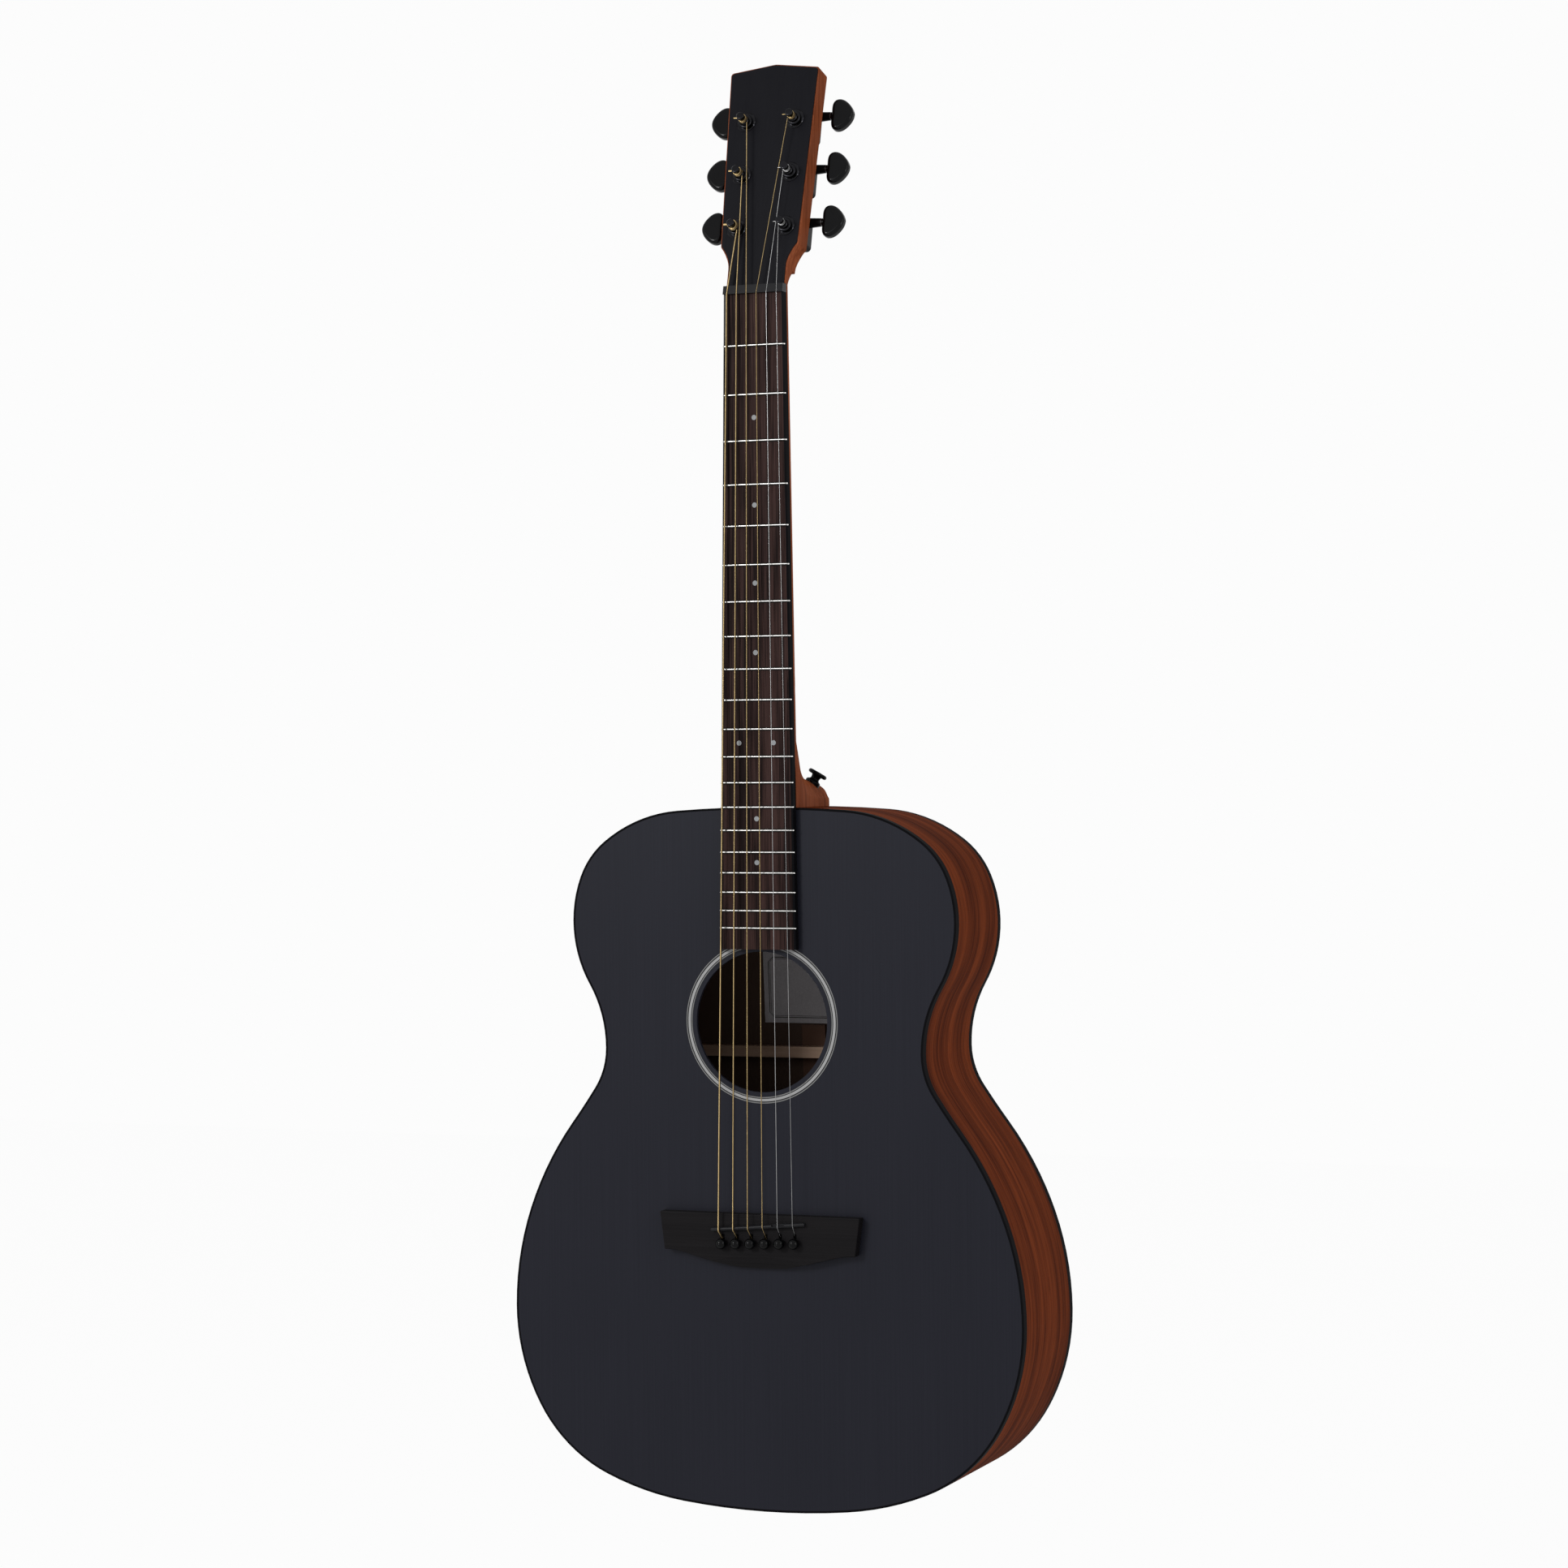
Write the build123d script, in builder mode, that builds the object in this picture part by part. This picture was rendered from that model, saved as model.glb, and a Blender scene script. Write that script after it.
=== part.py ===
from build123d import *
from math import asin, atan, cos, degrees, pi, radians, sin, sqrt, tan
import os

os.makedirs("parts", exist_ok=True)

# Frame: X to the treble side, Z up along the neck, -Y towards the player's audience.
# The origin is on the centre line at the nut's front face, in the plane of the soundboard's face.

# ---------------------------------------------------------------- driving dimensions (mm, degrees)
scale_length = 650.0
fret_count = 20
body_fret = 14

# Body outline, measured down from the neck joint
upper_bout_width = 290.4
waist_width = 240.4
lower_bout_width = 384.8
upper_bout_drop = 80.9
waist_drop = 171.6
lower_bout_drop = 358.5
body_length = 495.4

# Plates and sides
top_thickness = 2.6
back_thickness = 2.6
rib_thickness = 2.4
tail_depth = 117.0
back_radius = 4572.0
dome_drop = 489.5
binding_thickness = 1.6
binding_height = 6.4
lining_thickness = 6.0
lining_height = 13.0
neck_block_width = 76.0
neck_block_length = 52.0
tail_block_width = 76.0
tail_block_length = 18.0
seam_gap = 0.02

# Soundhole, rosette and label
soundhole_radius = 49.5
soundhole_drop = 151.05
rosette_inner_radius = 52.4
rosette_outer_radius = 57.6
rosette_depth = 1.2
label_width = 77.0
label_height = 52.0
label_thickness = 0.25
label_drop = 106.5

# Braces
brace_width = 8.0
x_brace_height = 15.0
x_brace_angle = 49.0
x_cross_drop = 232.0
x_lap_gap = 0.02
transverse_drop = 84.0
transverse_width = 12.0
transverse_height = 18.0
tone_bar_height = 11.0
finger_brace_width = 6.0
finger_brace_height = 8.0
bridge_plate_thickness = 2.4
back_brace_height = 13.0
back_strip_width = 18.0
back_strip_thickness = 2.4
back_brace_drops = (70.0, 179.0, 300.0, 408.0)
back_brace_width = 8.0
brace_crown_radius = 1500.0
access_hole_radius = 6.4

# Neck, fingerboard and frets
nut_width = 45.0
last_fret_width = 56.5
board_end_drop = 15.0
board_thickness = 6.6
board_radius = 400.0
board_binding = 1.5
neck_depth_at_nut = 14.4
neck_depth_at_body = 16.6
neck_power = 2.25
heel_power = 2.3
# Depth, half width and length up the neck of the heel's cross-sections
heel_profile = (
    (0.0, 27.6, 95.0),
    (12.0, 26.8, 76.0),
    (19.0, 25.6, 54.0),
    (28.0, 24.0, 39.0),
    (40.0, 22.0, 29.0),
    (55.0, 20.1, 23.0),
    (72.0, 18.7, 19.5),
    (90.0, 17.5, 17.0),
)
tenon_width = 19.0
tenon_flare = 5.0
tenon_length = 24.0
tenon_depth = 60.0
fret_radius = 1.15
fret_inset = 1.3
fret_slot = 0.5
tang_floor = 4.2
dot_diameter = 3.6
dot_depth = 1.2
twin_dot_spread = 26.0
side_dot_diameter = 2.0
side_dot_depth = 0.8
octave_side_dot_spread = 8.0
single_dot_frets = (3, 5, 7, 9, 15, 17)
octave_fret = 12

# Truss rod
rod_radius = 2.4
rod_clearance = 0.1
rod_level = 9.2
rod_start = 16.0
rod_bar_gap = 0.2
rod_nut_radius = 4.4
rod_nut_length = 13.0
rod_nut_bore = 9.3
rod_nut_fit = 0.05
rod_nut_gap = 0.4
hex_key = 4.0
hex_depth = 3.2

# Nut
nut_length = 6.0
nut_height = 8.9
nut_back_height = 7.44
slot_clearance = 0.03

# Headstock
head_tilt = 14.0
head_thickness = 17.0
head_face_rise = 2.0
headplate_thickness = 0.7
head_bevel = 1.0
head_length = 167.0
head_shoulder = 162.5
head_top_half = 34.0
head_base_half = 29.6
head_neck_half = 22.4
head_flare_start = 13.0
head_flare_end = 30.0
head_corner_radius = 2.5
head_peak_radius = 12.0
head_flare_point = (24.9, 22.6)
head_flare_heading = (1.0, 1.15)
head_edge_radius = 1.2
head_power = 6.0

# Tuners, in the headstock's own plane
post_x = 18.5
post_stations = (43.0, 83.4, 123.6)
post_radius = 2.9
post_waist_radius = 2.3
post_waist = (4.0, 10.6)
post_waist_slope = 0.8
post_tip = 12.5
post_tip_rounding = 0.9
string_tail = 3.3
string_hole_radius = 1.0
string_hole_level = 8.7
running_fit = 0.05
washer_radius = 7.2
washer_thickness = 1.0
bushing_radius = 4.9
bushing_top = 3.2
bushing_top_radius = 5.3
bushing_crown_radius = 1.2
worm_drop = 5.4
gear_module = 0.85
gear_teeth = 16
gear_thickness = 4.0
flank_clearance = 0.14
worm_radius = 3.3
worm_turns = 3
gear_tip = 0.80
gear_root = 1.15
pressure_angle = 20.0
tip_flank = 0.5
gear_bore_fit = 0.01
post_foot_drop = 2.5
gear_screw_head_radius = 3.4
gear_screw_length = 6.0
screw_head_thickness = 1.2
shaft_radius = 2.0
shaft_end = 48.0
shaft_ring_radius = 2.75
shaft_ring_length = 0.7
shaft_ring_gap = 0.05
journal_radius = 1.5
journal_length = 3.0
housing_width = 18.6
housing_wall = 1.2
housing_plate = 1.0
housing_depth = 10.9
housing_corner_radius = 3.0
cover_thickness = 1.0
cavity_gap = 0.35
collar_radius = 3.7
collar_tip_radius = 3.0
collar_reach = 36.6
button_reach = 54.4
button_thickness = 7.6
button_start = 37.9
button_edge_radius = 2.6
button_stem_start = 37.4
button_stem_radius = 2.9
button_stem_length = 3.0
button_screw_radius = 1.7
screw_slot_width = 0.6
# Half of the button's kidney outline: outwards from the shaft's end, and sideways
button_curve = (
    (0.3, 0.0),
    (0.1, 5.0),
    (0.6, 8.5),
    (2.4, 11.0),
    (5.6, 11.8),
    (9.4, 10.6),
    (13.0, 7.6),
    (15.6, 3.8),
    (16.5, 0.0),
)
screw_radius = 1.1
screw_head_radius = 2.3
screw_length = 8.0
lug_reach = 12.2
lug_radius = 3.2
lug_thickness = 2.2

# Bridge, saddle and pins
bridge_top_drop = 285.6
bridge_width = 151.0
bridge_foot_width = 144.0
bridge_height = 27.0
bridge_thickness = 8.0
bridge_corner_radius = 0.9
bridge_edge_radius = 0.7
# Half of the bridge's belly: distance from the centre line and drop below its foot corners
bridge_belly_curve = (
    (72.0, 0.0),
    (64.0, 0.35),
    (55.0, 2.2),
    (39.0, 6.3),
    (24.0, 9.6),
    (0.0, 11.2),
)
scoop_centre = (0.0, -318.0, -829.0)
scoop_radius = 346.0
saddle_length = 71.0
saddle_thickness = 3.0
saddle_seat = 4.0
saddle_step_depth = 1.6
saddle_step_width = 9.5
saddle_top = 12.3
saddle_radius = 400.0
saddle_slant = 4.7
saddle_drop = 294.2
pin_drop = 305.8
pin_spacing = 10.95
pin_step = 0.37
pin_radius = 2.5
pin_ball_radius = 3.9
pin_lift = 0.5
pin_length = 20.0
pin_fit = 0.05
pin_groove = 1.6
pin_groove_floor = 1.1
pin_ball_level = 11.2
pin_ball_lift = 0.4
pin_foot_flat = 0.2
string_pin_offset = 1.85
pin_slot_level = 5.6
ramp_clearance = 0.5
string_ramp_length = 6.5

# Strings, bass to treble
string_gauges = (1.35, 1.07, 0.81, 0.61, 0.41, 0.31)
wound_count = 4
string_spread_nut = 37.4
string_spread_saddle = 55.4
string_offset = -0.7
nut_string_level = 8.45
ball_end_radius = 1.7
ball_end_length = 3.4
string_wraps = (2.6, 3.1, 3.6, 4.1, 5.6, 6.6)
wrap_spacing = 1.06
wrap_gap = 0.02
wrap_clearance = 0.15
string_lift = 0.03
string_bend_radius = 2.0
nut_bend_radius = 3.0

# Strap fittings
strap_foot = (9.9, 74.0, -345.2)
strap_direction = (0.47, 0.20, 0.86)
strap_head_radius = 7.2
strap_base_radius = 5.6
strap_waist_radius = 3.4
strap_height = 10.5
strap_rim_height = 9.0
strap_rim_radius = 1.5
strap_waist_height = 4.6
strap_base_thickness = 2.6
strap_base_reach = 3.0
strap_sink = 1.6
strap_screw_radius = 1.6
strap_screw_length = 16.0
end_pin_level = 56.0
end_pin_head_radius = 6.8
end_pin_reach = 9.4
end_pin_stem_radius = 5.0
end_pin_stem_length = 22.0


# ---------------------------------------------------------------- derived places
def fret_z(number):
    """Height of a fret's crown on the equal-tempered scale."""
    return -scale_length * (1 - 2 ** (-number / 12))


body_top = fret_z(body_fret)
body_bottom = body_top - body_length
board_end = fret_z(fret_count) - board_end_drop
soundhole_z = body_top - soundhole_drop
cross_z = body_top - x_cross_drop
pin_z = body_top - pin_drop
saddle_z = body_top - saddle_drop
bridge_top_z = body_top - bridge_top_drop
plate_bottom = top_thickness + bridge_plate_thickness
block_end = body_top - rib_thickness - neck_block_length
board_axis_y = board_radius - board_thickness
dome_centre = Vector(0, tail_depth - back_radius, body_top - dome_drop)
string_count = len(string_gauges)

head_normal = Vector(0, -cos(radians(head_tilt)), sin(radians(head_tilt)))
head_plane = Plane(
    origin=Vector(0, 0, nut_length) + head_normal * head_face_rise,
    x_dir=(1, 0, 0),
    z_dir=head_normal,
)


def board_half(z):
    """Half the fingerboard's width at a height."""
    growth = (last_fret_width - nut_width) / 2
    return nut_width / 2 + growth * z / fret_z(fret_count)


def front_plane(y):
    """Plane parallel to the soundboard at depth y, seen from the front."""
    return Plane.XZ.offset(-y)


def string_x(index, spread):
    """Sideways place of a string, with the given distance between the outer two."""
    return spread * (index / (string_count - 1) - 0.5) + string_offset


def pin_place(index):
    """Place of a bridge pin on its slanting row, in x and z."""
    place = index - (string_count - 1) / 2
    return place * pin_spacing, pin_z + place * pin_step


def board_sag(x):
    """How far the cambered playing surface falls away at x."""
    return board_radius - sqrt(board_radius**2 - x**2)


# ---------------------------------------------------------------- body outline
# Places between the named widths, as shares across and down, with the outline's heading there
shoulder_share = (0.83, 0.30)
shoulder_heading = -38.0
flank_share = (0.37, 0.29)
flank_heading = -53.0
tail_corner_share = (0.63, 0.86)
tail_corner_heading = -157.0


def outline_stations():
    """Places on the treble half of the outline, each with its heading, from the neck to the tail."""
    upper = upper_bout_width / 2
    waist = waist_width / 2
    lower = lower_bout_width / 2
    flank_drop = waist_drop + flank_share[1] * (lower_bout_drop - waist_drop)
    corner_drop = lower_bout_drop + tail_corner_share[1] * (body_length - lower_bout_drop)
    places = (
        (0, 0, 0),
        (shoulder_share[0] * upper, shoulder_share[1] * upper_bout_drop, shoulder_heading),
        (upper, upper_bout_drop, -90),
        (waist, waist_drop, -90),
        (waist + flank_share[0] * (lower - waist), flank_drop, flank_heading),
        (lower, lower_bout_drop, -90),
        (tail_corner_share[0] * lower, corner_drop, tail_corner_heading),
        (0, body_length, -180),
    )
    east = Vector(1, 0)
    return [(Vector(x, body_top - drop), east.rotate(Axis.Z, heading)) for x, drop, heading in places]


def biarc_knee(start, start_heading, end, end_heading):
    """Where two tangent arcs meet that join two places with the given headings."""
    span = end - start
    both = start_heading + end_heading
    bend = 1 - start_heading.dot(end_heading)
    if bend < 1e-6:
        reach = span.dot(span) / (4 * span.dot(end_heading))
    else:
        reach = (sqrt(span.dot(both) ** 2 + 2 * bend * span.dot(span)) - span.dot(both)) / (2 * bend)
    return (start + start_heading * reach + end - end_heading * reach) * 0.5


def body_outline(inset):
    """The body's outline, drawn in x and z, shrunk by an inset."""
    stations = outline_stations()
    with BuildSketch(Plane.XY, mode=Mode.PRIVATE) as sketch:
        with BuildLine() as edge:
            for (start, heading), (end, end_heading) in zip(stations, stations[1:]):
                knee = biarc_knee(start, heading, end, end_heading)
                first_arc = TangentArc(start, knee, tangent=heading)
                TangentArc(knee, end, tangent=first_arc % 1)
            mirror(edge.line, about=Plane.YZ)
        make_face()
        if inset:
            offset(amount=-inset)
    return sketch.sketch


outer_outline = body_outline(0)
rabbet_outline = body_outline(binding_thickness)
inner_outline = body_outline(rib_thickness)
lining_outline = body_outline(rib_thickness + lining_thickness)


def prism(sketch, near, far, mode=Mode.ADD):
    """Raise an x-z drawing between two depths."""
    with BuildSketch(front_plane(near), mode=Mode.PRIVATE) as section:
        add(sketch)
    extrude(section.sketch, amount=near - far, mode=mode)


def dome(shrink, mode):
    """The ball whose surface shapes the arched back, smaller by the given depth."""
    with Locations(dome_centre):
        Sphere(back_radius - shrink, mode=mode)


deep = tail_depth + 20.0


# ---------------------------------------------------------------- plates, bindings and sides
with BuildPart() as front_binding:
    prism(outer_outline, 0, binding_height)
    prism(rabbet_outline, 0, binding_height, Mode.SUBTRACT)

with BuildPart() as back_binding:
    prism(outer_outline, binding_height, deep)
    prism(rabbet_outline, binding_height, deep, Mode.SUBTRACT)
    dome(0, Mode.INTERSECT)
    dome(binding_height, Mode.SUBTRACT)

with BuildPart() as back_plate:
    prism(rabbet_outline, binding_height, deep)
    dome(0, Mode.INTERSECT)
    dome(back_thickness, Mode.SUBTRACT)


# The neck's dovetail, which fills its mortise in the sides and the neck block
with BuildPart() as tenon:
    with BuildSketch(front_plane(binding_height)):
        Polygon(
            (-tenon_width / 2, body_top + 2),
            (tenon_width / 2, body_top + 2),
            (tenon_width / 2 + tenon_flare / 2, body_top - tenon_length),
            (-tenon_width / 2 - tenon_flare / 2, body_top - tenon_length),
            align=None,
        )
    extrude(amount=binding_height - tenon_depth)

# The rod's round way through the heel, the tenon and the neck block
rod_hole_radius = rod_radius + rod_clearance
with BuildPart() as rod_way:
    with BuildSketch(Plane.XY.offset(block_end - 5)):
        with Locations((0, rod_level)):
            Circle(rod_hole_radius)
    extrude(amount=-rod_start - block_end + 5)

with BuildPart() as rod_channel:
    with BuildSketch(Plane.XY.offset(body_top + 7)):
        with Locations((0, rod_level / 2 - 2)):
            Rectangle(2 * rod_hole_radius, rod_level + 4)
    extrude(amount=-rod_start - body_top - 7)

end_pin_plane = Plane(origin=(0, end_pin_level, body_bottom), x_dir=(1, 0, 0), z_dir=(0, 0, -1))
with BuildPart(end_pin_plane) as end_pin:
    with Locations((0, 0, -end_pin_stem_length)):
        Cylinder(end_pin_stem_radius, end_pin_stem_length, align=(Align.CENTER, Align.CENTER, Align.MIN))
    with BuildSketch(Plane(origin=end_pin_plane.origin, x_dir=(1, 0, 0), z_dir=(0, -1, 0))):
        with BuildLine():
            Polyline(
                (0, 0.2),
                (0, -end_pin_reach),
                (end_pin_head_radius - 2, -end_pin_reach),
                (end_pin_head_radius, -end_pin_reach + 1.6),
                (end_pin_head_radius - 0.4, -end_pin_reach + 3.4),
                (end_pin_stem_radius - 1.2, -end_pin_reach + 4.6),
                (end_pin_stem_radius - 1.2, -2.4),
                (end_pin_stem_radius + 0.9, -1.2),
                (end_pin_stem_radius + 0.9, 0.2),
                close=True,
            )
        make_face()
    revolve(axis=Axis((0, end_pin_level, body_bottom), (0, 0, 1)))
    prism(outer_outline, 0, deep, Mode.SUBTRACT)
    with Locations((0, 0, -end_pin_stem_length)):
        Cylinder(end_pin_stem_radius, end_pin_stem_length, align=(Align.CENTER, Align.CENTER, Align.MIN))

with BuildPart(end_pin_plane) as end_pin_hole:
    Cylinder(end_pin_stem_radius, 80)


def rim_half(keep):
    """One bent side, with its rabbets and the holes for the neck and the end pin."""
    prism(outer_outline, top_thickness, deep)
    prism(inner_outline, top_thickness, deep, Mode.SUBTRACT)
    split(bisect_by=Plane.YZ, keep=keep)
    dome(back_thickness, Mode.INTERSECT)
    for piece in (front_binding, back_binding, tenon, rod_way, end_pin_hole):
        add(piece.part, mode=Mode.SUBTRACT)


with BuildPart() as treble_side:
    rim_half(Keep.TOP)

with BuildPart() as bass_side:
    rim_half(Keep.BOTTOM)

with BuildPart() as neck_block:
    with BuildSketch(front_plane(top_thickness)):
        with Locations((0, body_top)):
            Rectangle(neck_block_width, 2 * (rib_thickness + neck_block_length))
    extrude(amount=top_thickness - deep)
    prism(inner_outline, top_thickness, deep, Mode.INTERSECT)
    dome(back_thickness, Mode.INTERSECT)
    add(tenon.part, mode=Mode.SUBTRACT)
    add(rod_way.part, mode=Mode.SUBTRACT)

with BuildPart() as tail_block:
    with BuildSketch(front_plane(top_thickness)):
        with Locations((0, body_bottom)):
            Rectangle(tail_block_width, 2 * (rib_thickness + tail_block_length))
    extrude(amount=top_thickness - deep)
    prism(inner_outline, top_thickness, deep, Mode.INTERSECT)
    dome(back_thickness, Mode.INTERSECT)
    add(end_pin_hole.part, mode=Mode.SUBTRACT)

with BuildPart() as lining_ring:
    prism(inner_outline, top_thickness, deep)
    prism(lining_outline, top_thickness, deep, Mode.SUBTRACT)
    dome(back_thickness, Mode.INTERSECT)

with BuildPart() as back_lining:
    add(lining_ring.part)
    dome(back_thickness + lining_height, Mode.SUBTRACT)

with BuildPart() as linings:
    add(lining_ring.part)
    prism(inner_outline, top_thickness + lining_height, deep, Mode.SUBTRACT)
    add(back_lining.part)
    for piece in (neck_block, tail_block, tenon, rod_way):
        add(piece.part, mode=Mode.SUBTRACT)

# ---------------------------------------------------------------- soundboard, rosette and bridge holes
with BuildPart() as rosette:
    with BuildSketch(front_plane(0)):
        with Locations((0, soundhole_z)):
            Circle(rosette_outer_radius)
            Circle(rosette_inner_radius, mode=Mode.SUBTRACT)
    extrude(amount=-rosette_depth)

# Straight holes for the bridge pins, through the bridge, the top and the plate
with BuildPart() as pin_holes:
    with BuildSketch(front_plane(-bridge_thickness - 1)):
        with Locations([pin_place(index) for index in range(string_count)]):
            Circle(pin_radius + pin_fit)
    extrude(amount=-bridge_thickness - 1 - plate_bottom - 1)

with BuildPart() as soundboard:
    prism(rabbet_outline, 0, top_thickness)
    with BuildSketch(front_plane(0)):
        with Locations((0, soundhole_z)):
            Circle(soundhole_radius)
    extrude(amount=-top_thickness, mode=Mode.SUBTRACT)
    add(rosette.part, mode=Mode.SUBTRACT)
    add(pin_holes.part, mode=Mode.SUBTRACT)

# ---------------------------------------------------------------- braces under the soundboard
def brace_crown():
    """The ball that thins every soundboard brace towards its ends."""
    drop = top_thickness + x_brace_height - brace_crown_radius
    with Locations((0, drop, cross_z)):
        Sphere(brace_crown_radius, mode=Mode.INTERSECT)


def bar(x, z, angle, length, width, height):
    """A straight brace glued under the soundboard, turned from the X direction by an angle."""
    with BuildSketch(front_plane(top_thickness), mode=Mode.PRIVATE) as foot:
        with Locations(Location((x, z), angle)):
            Rectangle(length, width)
    extrude(foot.sketch, amount=-height)


lap_level = top_thickness + x_brace_height / 2
leg_angle = 90 - x_brace_angle

with BuildPart() as lap_floor:
    with BuildSketch(front_plane(0)):
        with Locations((0, cross_z)):
            Rectangle(4 * brace_width, 4 * brace_width)
    extrude(amount=x_lap_gap / 2 - lap_level)

with BuildPart() as bass_notch:
    notch_width = brace_width + 2 * x_lap_gap
    bar(0, cross_z, leg_angle, 4 * brace_width, notch_width, (x_brace_height + x_lap_gap) / 2)

with BuildPart() as treble_notch:
    bar(0, cross_z, 180 - leg_angle, 4 * brace_width, notch_width, x_brace_height)
    add(lap_floor.part, mode=Mode.SUBTRACT)

with BuildPart() as bass_x_brace:
    bar(0, cross_z, 180 - leg_angle, 2 * body_length, brace_width, x_brace_height)
    brace_crown()
    prism(lining_outline, top_thickness, deep, Mode.INTERSECT)
    add(bass_notch.part, mode=Mode.SUBTRACT)

with BuildPart() as treble_x_brace:
    bar(0, cross_z, leg_angle, 2 * body_length, brace_width, x_brace_height)
    brace_crown()
    prism(lining_outline, top_thickness, deep, Mode.INTERSECT)
    add(treble_notch.part, mode=Mode.SUBTRACT)

with BuildPart() as transverse_brace:
    bar(0, body_top - transverse_drop, 0, upper_bout_width, transverse_width, transverse_height)
    prism(lining_outline, top_thickness, deep, Mode.INTERSECT)
    with BuildSketch(Plane.XY.offset(body_top - transverse_drop - transverse_width)):
        with Locations((0, rod_level)):
            Circle(access_hole_radius)
    extrude(amount=2 * transverse_width, mode=Mode.SUBTRACT)

with BuildPart() as light_braces:
    bar(-8, body_top - 373, -17, 200, brace_width, tone_bar_height)
    bar(-14, body_top - 424, -17, 140, brace_width, tone_bar_height)
    for side in (-1, 1):
        bar(side * 122, body_top - 276, side * -14, 68, finger_brace_width, finger_brace_height)
        bar(side * 61, body_top - 128, 90, 62, finger_brace_width, finger_brace_height)
    brace_crown()
    prism(lining_outline, top_thickness, deep, Mode.INTERSECT)

with BuildPart() as x_braces:
    add(bass_x_brace.part)
    add(treble_x_brace.part)

with BuildPart() as top_braces:
    add(transverse_brace.part)
    add(light_braces.part)

with BuildPart() as bridge_plate:
    with BuildSketch(front_plane(top_thickness)):
        Polygon(
            (-52, pin_z + 22), (52, pin_z + 22), (76, pin_z - 24), (-76, pin_z - 24), align=None
        )
    extrude(amount=-bridge_plate_thickness)
    add(pin_holes.part, mode=Mode.SUBTRACT)

# ---------------------------------------------------------------- braces and label on the back
with BuildPart() as cross_braces:
    for drop in back_brace_drops:
        with BuildSketch(front_plane(top_thickness)):
            with Locations((0, body_top - drop)):
                Rectangle(lower_bout_width, back_brace_width)
        extrude(amount=top_thickness - deep)
    dome(back_thickness, Mode.INTERSECT)
    dome(back_thickness + back_brace_height, Mode.SUBTRACT)
    prism(lining_outline, top_thickness, deep, Mode.INTERSECT)

label_z = body_top - label_drop - label_height / 2
with BuildPart() as back_strip:
    with BuildSketch(front_plane(top_thickness)):
        with Locations((0, (block_end + body_bottom + rib_thickness + tail_block_length) / 2)):
            Rectangle(back_strip_width, block_end - body_bottom - rib_thickness - tail_block_length)
    extrude(amount=top_thickness - deep)
    dome(back_thickness, Mode.INTERSECT)
    dome(back_thickness + back_strip_thickness, Mode.SUBTRACT)
    for drop in back_brace_drops:
        with BuildSketch(front_plane(top_thickness)):
            with Locations((0, body_top - drop)):
                Rectangle(2 * back_strip_width, back_brace_width + 2 * seam_gap)
        extrude(amount=top_thickness - deep, mode=Mode.SUBTRACT)
    with BuildSketch(front_plane(top_thickness)):
        with Locations((0, label_z)):
            Rectangle(label_width + 2, label_height + 2)
    extrude(amount=top_thickness - deep, mode=Mode.SUBTRACT)

with BuildPart() as back_braces:
    add(cross_braces.part)
    add(back_strip.part)

with BuildPart() as label:
    with BuildSketch(front_plane(top_thickness)):
        with Locations((0, label_z)):
            Rectangle(label_width, label_height)
    extrude(amount=top_thickness - deep)
    dome(back_thickness, Mode.INTERSECT)
    dome(back_thickness + label_thickness, Mode.SUBTRACT)

# ---------------------------------------------------------------- neck
def back_curve(half, depth, power, count=11):
    """Points of a rounded back, from the bass edge across to the treble edge."""
    share = 2 / power
    points = [(-half, 0)]
    for index in range(1, count - 1):
        angle = pi * index / (count - 1)
        side = 1 if 2 * angle > pi else -1
        points.append((side * half * abs(cos(angle)) ** share, -depth * sin(angle) ** share))
    return points + [(half, 0)]


def neck_section(plane, half, depth, power):
    """Flat-faced, round-backed section of the neck, its face along the plane's X axis."""
    with BuildSketch(plane, mode=Mode.PRIVATE) as section:
        with BuildLine():
            Spline(back_curve(half, depth, power), tangents=[(0, -1), (0, 1)])
            Line((half, 0), (-half, 0))
        make_face()
    return section.sketch


def neck_plane(z):
    return Plane(origin=(0, 0, z), x_dir=(-1, 0, 0), z_dir=(0, 0, 1))


def heel_section(y, half, length):
    """Outline of the heel at a depth, with a rounded nose up the neck."""
    with BuildSketch(front_plane(y), mode=Mode.PRIVATE) as section:
        with BuildLine():
            nose = [(x, body_top - drop) for x, drop in back_curve(half, length, heel_power)]
            Spline(nose, tangents=[(0, 1), (0, -1)])
            Polyline((half, body_top), (half, body_top - 4), (-half, body_top - 4), (-half, body_top))
        make_face()
    return section.sketch


def head_outline(inset=0):
    """The headstock's outline in its own plane, from the nut end to the top, drawn in by an inset."""
    neck_edge = head_neck_half - inset
    flare_edge = (head_flare_point[0] - inset, head_flare_point[1])
    base_corner = (head_base_half - inset, head_flare_end)
    top_corner = (head_top_half - inset, head_shoulder - inset)
    with BuildSketch(Plane.XY, mode=Mode.PRIVATE) as sketch:
        with BuildLine() as edge:
            Line((0, 0), (neck_edge, 0))
            Line((neck_edge, 0), (neck_edge, head_flare_start))
            Spline(
                (neck_edge, head_flare_start),
                flare_edge,
                base_corner,
                tangents=[(0, 1), head_flare_heading],
            )
            Line(base_corner, top_corner)
            Line(top_corner, (0, head_length - inset))
            mirror(edge.line, about=Plane.YZ)
        make_face()
        corners = sketch.vertices().sort_by(Axis.Y)
        fillet(corners[-3:-1], head_corner_radius)
        fillet(sketch.vertices().sort_by(Axis.Y)[-1], head_peak_radius)
        heights = [vertex for vertex in sketch.vertices() if abs(vertex.Y - head_flare_end) < 0.1]
        fillet(heights, head_corner_radius)
    return sketch.sketch


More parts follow.
